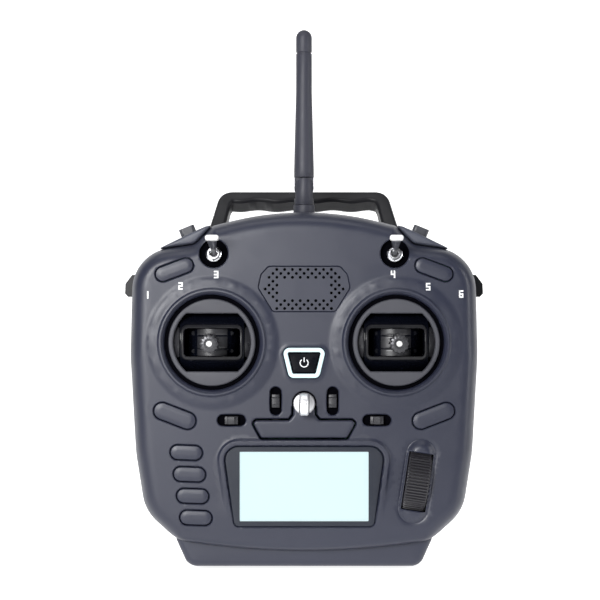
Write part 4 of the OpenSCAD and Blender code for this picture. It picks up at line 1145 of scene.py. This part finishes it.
make_hook()
make_grille_shade()
make_trims()
make_wheel()
make_nuts()
for name in TOGGLES:
    make_front_toggle(name)
    make_recess(name)


# ---------------------------------------------------------------- handle, shoulders and sides

def make_handle():
    """Grip bar with finger waves under it, on two legs that lean to the rear."""
    low, high = box("handle")
    foot = np.array([0, BACK_Y + 2, low[2] + 16])
    lean = math.radians(HANDLE_LEAN)
    half_w = (high[0] - low[0]) / 2 - 0.4
    reach = HANDLE_L
    top_w, under = half_w - 9, reach - 5.6
    inner_foot, inner_top = half_w - 8.2, half_w - 14.2
    outer = rounded([(-half_w, -2, 0.3), (half_w, -2, 0.3), (top_w, reach, 7), (-top_w, reach, 7)], 8)
    crest = outer[outer[:, 1] > 2]
    crest = crest[np.argsort(-crest[:, 0], kind="stable")]
    waves = [(x, under - 1.1 * (0.5 - 0.5 * math.cos(2 * math.pi * (inner_top - 3 - x) / 17.6)))
             for x in np.linspace(3 - inner_top, inner_top - 3, 41)]
    hollow = [(-inner_foot, -2), (-inner_top - 0.4, under - 3), (-inner_top + 0.6, under - 0.7)]
    outline = [(half_w, -2)] + [tuple(p) for p in crest] + [(-half_w, -2)] + hollow + waves
    outline += [(-x, z) for x, z in reversed(hollow)]
    outline = resampled(np.array(outline, float), 1.5)

    def place(points):
        x, y, z = points.T
        return np.c_[x, foot[1] + y * math.cos(lean) + z * math.sin(lean),
                     foot[2] - y * math.sin(lean) + z * math.cos(lean)]

    bar = slab("handle_bar", outline, [], HANDLE_T, 1.6, place, BLACK, pitch=3.0)
    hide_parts("handle")
    for side in (-1, 1):
        pad = rounded([(0, 0, 2), (10.3, 0, 2), (10.3, 23, 2), (0, 23, 2)])
        origin = np.array([38.6 if side > 0 else -48.9, BACK_Y + 2.45, low[2]])
        piece = slab(f"handle_pad_{'right' if side > 0 else 'left'}", pad, [], 4.9, 0.8,
                     lambda p, o=origin: p + o, BLACK, pitch=3.0)


def make_shoulders():
    """Wedge over each shoulder, with a soft front edge."""
    low, high = box("shoulder_panels")
    for side in (-1, 1):
        x0, x1 = SHOULDER_X + 1.2, high[0]
        under = [p for p in CASE if x0 <= side * p[0] <= x1 and p[1] > 130]
        under = sorted([(side * p[0], p[1] + 0.1) for p in under])
        slope = 0.47
        outline = [(x0, under[0][1])] + under + [(x1, high[2] - slope * (x1 - x0))]
        outline += [(x0 + 8, high[2] - slope * 8 + 0.25), (x0 + 2, high[2] - slope * 2 + 0.1),
                    (x0, high[2] - 0.4)]
        outline = resampled(np.array(outline), 1.0)
        outline = outline * [side, 1]
        if side < 0:
            outline = outline[::-1]

        def place(points):
            return points + np.array([0, (low[1] + high[1]) / 2, 0])

        panel = slab(f"shoulder_{'right' if side > 0 else 'left'}", outline, [], high[1] - low[1], 1.2,
                     place, SHOULDER, pitch=2.0)
        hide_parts("shoulder_panels")


make_handle()
make_shoulders()


# ---------------------------------------------------------------- back of the case

def rear(points):
    """Depth of the rear surface."""
    points = np.asarray(points, float)
    return BACK_Y - edge_drop(distance(points, CASE), REAR_REACH, BACK_Y - SEAM_Y)


def make_rear_shell():
    screws = [(HALF_W - 15, 34), (HALF_W - 11, 88), (28, CASE_TOP - 15)]
    wells = [circle((side * x, z), 3.2, 40) for x, z in screws for side in (-1, 1)]
    # The screw wells' walls are near-black: painted shade inside them.
    back = skin("rear_case", CASE, wells, rear, SHELL, pitch=4.0, rim=SEAM_Y, depth=4.2, dark=SHADE_BLACK,
                rings=(0.3, 1.0), edge_rings=(0.1, 0.3, 0.7, 1.3, 2.1, 3.2, 4.6, 6.2, 8.1))
    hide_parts("rear_shell")
    block_top = box("module_cover")[1][2] + 6.0
    right = [(36, 2.5, 3), (38, 40, 20), (37, block_top, 5)]
    outline = resampled(symmetric(right), 1.5)
    openings = [opening("battery_door", LID_GAP), opening("module_cover", LID_GAP)]

    def field(points):
        return BLOCK_Y - edge_drop(distance(points, outline), 2.2, 2.2, 2.0)

    # The walls round the two lid openings are near-black: painted shade in the gaps round the lids.
    block = skin("rear_block", outline, openings, field, SHELL, pitch=4.0, rim=12.0, depth=2.5, dark=SHADE_BLACK,
                 rings=(0.3, 1.0), edge_rings=(0.2, 0.6, 1.1, 1.6, 2.2))


def top_z(points):
    """Height of the top of the rear case at (x, y)."""
    share = np.clip((points[:, 1] - SEAM_Y) / (BACK_Y - SEAM_Y), 0, 1)
    inset = REAR_REACH * (1 - (1 - share ** EDGE_POWER) ** (1 / EDGE_POWER))
    upper = CASE[CASE[:, 1] > CASE_TOP - 20]
    upper = upper[np.argsort(upper[:, 0])]
    return np.interp(points[:, 0], upper[:, 0], upper[:, 1]) - inset


def port_ring(name, node, outer, inner, thickness, rise, finish):
    """Flat ring or plate that follows the top of the case, over a connector."""
    centre = middle(node)
    holes = [resampled(pill(inner, 0, centre[:2]), 0.5)] if inner else []

    def place(points):
        return np.c_[points[:, 0], points[:, 2], top_z(points[:, [0, 2]]) + points[:, 1] + rise]

    ring = slab(name, resampled(pill(outer, 0, centre[:2]), 0.5), holes, thickness, 0.12, place, finish,
                pitch=1.0)


def make_ports():
    """Mouths of the charging port and of the trainer jack on top of the case."""
    for node, mouth in (("usb_port", (11.8, 4.3)), ("trainer_jack", (6.2, 6.2001))):
        wide = (mouth[0] + 1.6, mouth[1] + 1.6)
        port_ring(f"{node}_rim", node, wide, mouth, 0.9, -0.15, SHELL)
        # A near-black floor in each mouth: painted shade inside the port.
        port_ring(f"{node}_floor", node, mouth, None, 0.3, 0.0, SHADE_BLACK)
    port_ring("usb_port_shell", "usb_port", (10.6, 3.6), (9.6, 2.6), 0.4, 0.12, STEEL)
    port_ring("usb_port_tongue", "usb_port", (6.6, 0.9), None, 0.3, 0.1, STEEL)
    port_ring("trainer_jack_tube", "trainer_jack", (5.6, 5.6001), (3.6, 3.6001), 0.5, 0.12, BLACK)


def opening(node, grow):
    """Outline of a lid, grown by a gap. A hinged lid is square at its hinge and clear of its pins."""
    low, high = box(node)
    hinged = node == "battery_door"
    reach = high[0] - (PIN_REACH if hinged else 0) + grow
    right = [(reach, low[2] - grow, 0.2 if hinged else 1.5), (reach, high[2] + grow, 1.5)]
    return resampled(symmetric(right), 1.5)


def make_foot():
    """Foot under the case, rounded at its lower front edge."""
    right = [(FOOT_WIDTH / 2 + 3.9, 0.02, 6), (FOOT_WIDTH / 2 + 11.3, FOOT_TOP, 4)]
    outline = resampled(symmetric(right), 1.5)

    def place(points):
        lift = np.clip((2.0 - points[:, 1]) * 0.115, 0, None) * (1 - points[:, 2] / FOOT_TOP)
        return points + np.c_[np.zeros(len(points)), np.zeros(len(points)), lift]

    foot = slab("case_foot", outline, [], FOOT_DEPTH, 3.2, place, SHELL, pitch=4.0)


def make_lid(node, ribs, hinge=None):
    """Flat lid with finger ribs across it, on its own body, rolled over at its hinge if it has one."""
    low, high = box(node)
    outline = opening(node, 0.0)
    first, count = ribs
    rib_pitch, rib_reach = 2.4, 12
    knuckle = pivot(hinge) if hinge else None

    def field(points):
        d = distance(points, outline)
        rib = 0.0
        for k in range(count):
            off = np.abs(points[:, 1] - (low[2] + first + k * rib_pitch))
            rib = np.maximum(rib, (1 - smooth_step(off, 0.4, 1.0)) * (np.abs(points[:, 0]) < rib_reach))
        y = high[1] - 0.45 * rib - edge_drop(d, 0.5, 0.5, 2.0)
        if knuckle is None:
            return y
        radius = high[1] - knuckle[1]
        under = np.clip(knuckle[2] - points[:, 1], 0, radius)
        return np.minimum(y, knuckle[1] + np.sqrt(radius ** 2 - under ** 2))

    lid = skin(f"{node}_lid", outline, [], field, SHELL, node, pitch=0.9, depth=1.6, rim=high[1] - 1.7,
               edge_rings=(0.15, 0.35, 0.5, 0.8, 1.2))
    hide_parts(node)


def make_grips():
    """Rubber pads on the back, with rows of raised dots."""
    low, high = box("rubber_grips")
    for side in (-1, 1):
        right = [(HALF_W - 27, 41, 2), (HALF_W - 17.5, 46, 7), (HALF_W - 16, 98, 30),
                 (HALF_W - 18.5, 118, 4), (HALF_W - 27, 118, 3)]
        corners = right if side > 0 else mirrored(right)
        outline = resampled(rounded(corners), 1.2)

        def field(points, outline=outline):
            d = distance(points, outline)
            dots = np.cos(points[:, 0] * 2.1) * np.cos(points[:, 1] * 2.1)
            return high[1] - 0.3 + 0.3 * smooth_step(dots, 0.1, 0.6) * smooth_step(d, 0.8, 1.6) \
                - edge_drop(d, 0.6, 0.6, 2.0)

        pad = skin(f"grip_{'right' if side > 0 else 'left'}", outline, [], field, RUBBER, pitch=0.75,
                   depth=1.2, rim=low[1], edge_rings=(0.15, 0.35, 0.6))
        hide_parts("rubber_grips")


make_rear_shell()
make_ports()
make_foot()
make_lid("battery_door", (4, 5), "battery_door_open")
make_lid("module_cover", (58, 4))
make_grips()


# ---------------------------------------------------------------- plain numerals beside the switches

def numeral(value, height):
    """Flat strokes of a digit, as quads in (x, z), centred."""
    w, h, t = height * 0.60, height, height * 0.20
    bars = {"a": (0, h - t, w, h), "g": (0, (h - t) / 2, w, (h + t) / 2), "d": (0, 0, w, t),
            "f": (0, h / 2, t, h), "b": (w - t, h / 2, w, h), "e": (0, 0, t, h / 2),
            "c": (w - t, 0, w, h / 2)}
    lit = {1: "bc", 2: "abged", 3: "abgcd", 4: "fgbc", 5: "afgcd", 6: "afgedc"}[value]
    verts, faces = [], []
    steps = 4
    for key in lit:
        x0, z0, x1, z1 = bars[key]
        n, row = len(verts), steps + 1
        verts += [(x0 + (x1 - x0) * i / steps, z0 + (z1 - z0) * j / steps)
                  for j in range(row) for i in range(row)]
        corners = [n + j * row + i for j in range(steps) for i in range(steps)]
        faces += [(a, a + 1, a + row + 1, a + row) for a in corners]
    return np.array(verts) - [w / 2, h / 2], faces


def make_numerals():
    """Numerals near the switches: 1 and 6 at the side levers, 2 to 5 at the buttons and toggles."""
    key_a, key_d = spot("button_a"), spot("button_d")
    b, c = TOGGLES["b"], TOGGLES["c"]
    places = {
        1: (key_a[0] - 12.2, key_a[1] - 11), 2: (key_a[0] + 2.8, key_a[1] - 7.1),
        3: (b[0] + 1.2, b[2] - 9.2), 4: (c[0] - 0.8, c[2] - 9.1),
        5: (key_d[0] - 2.6, key_d[1] - 7.4), 6: (key_d[0] + 11.8, key_d[1] - 10.6),
    }
    for value, (x, z) in places.items():
        verts, faces = numeral(value, NUMERAL_HEIGHT)
        flat = verts + [x, z]
        ink = new_object(f"numeral_{value}", np.c_[flat[:, 0], face(flat) - 0.16, flat[:, 1]], faces, PRINT)


make_numerals()
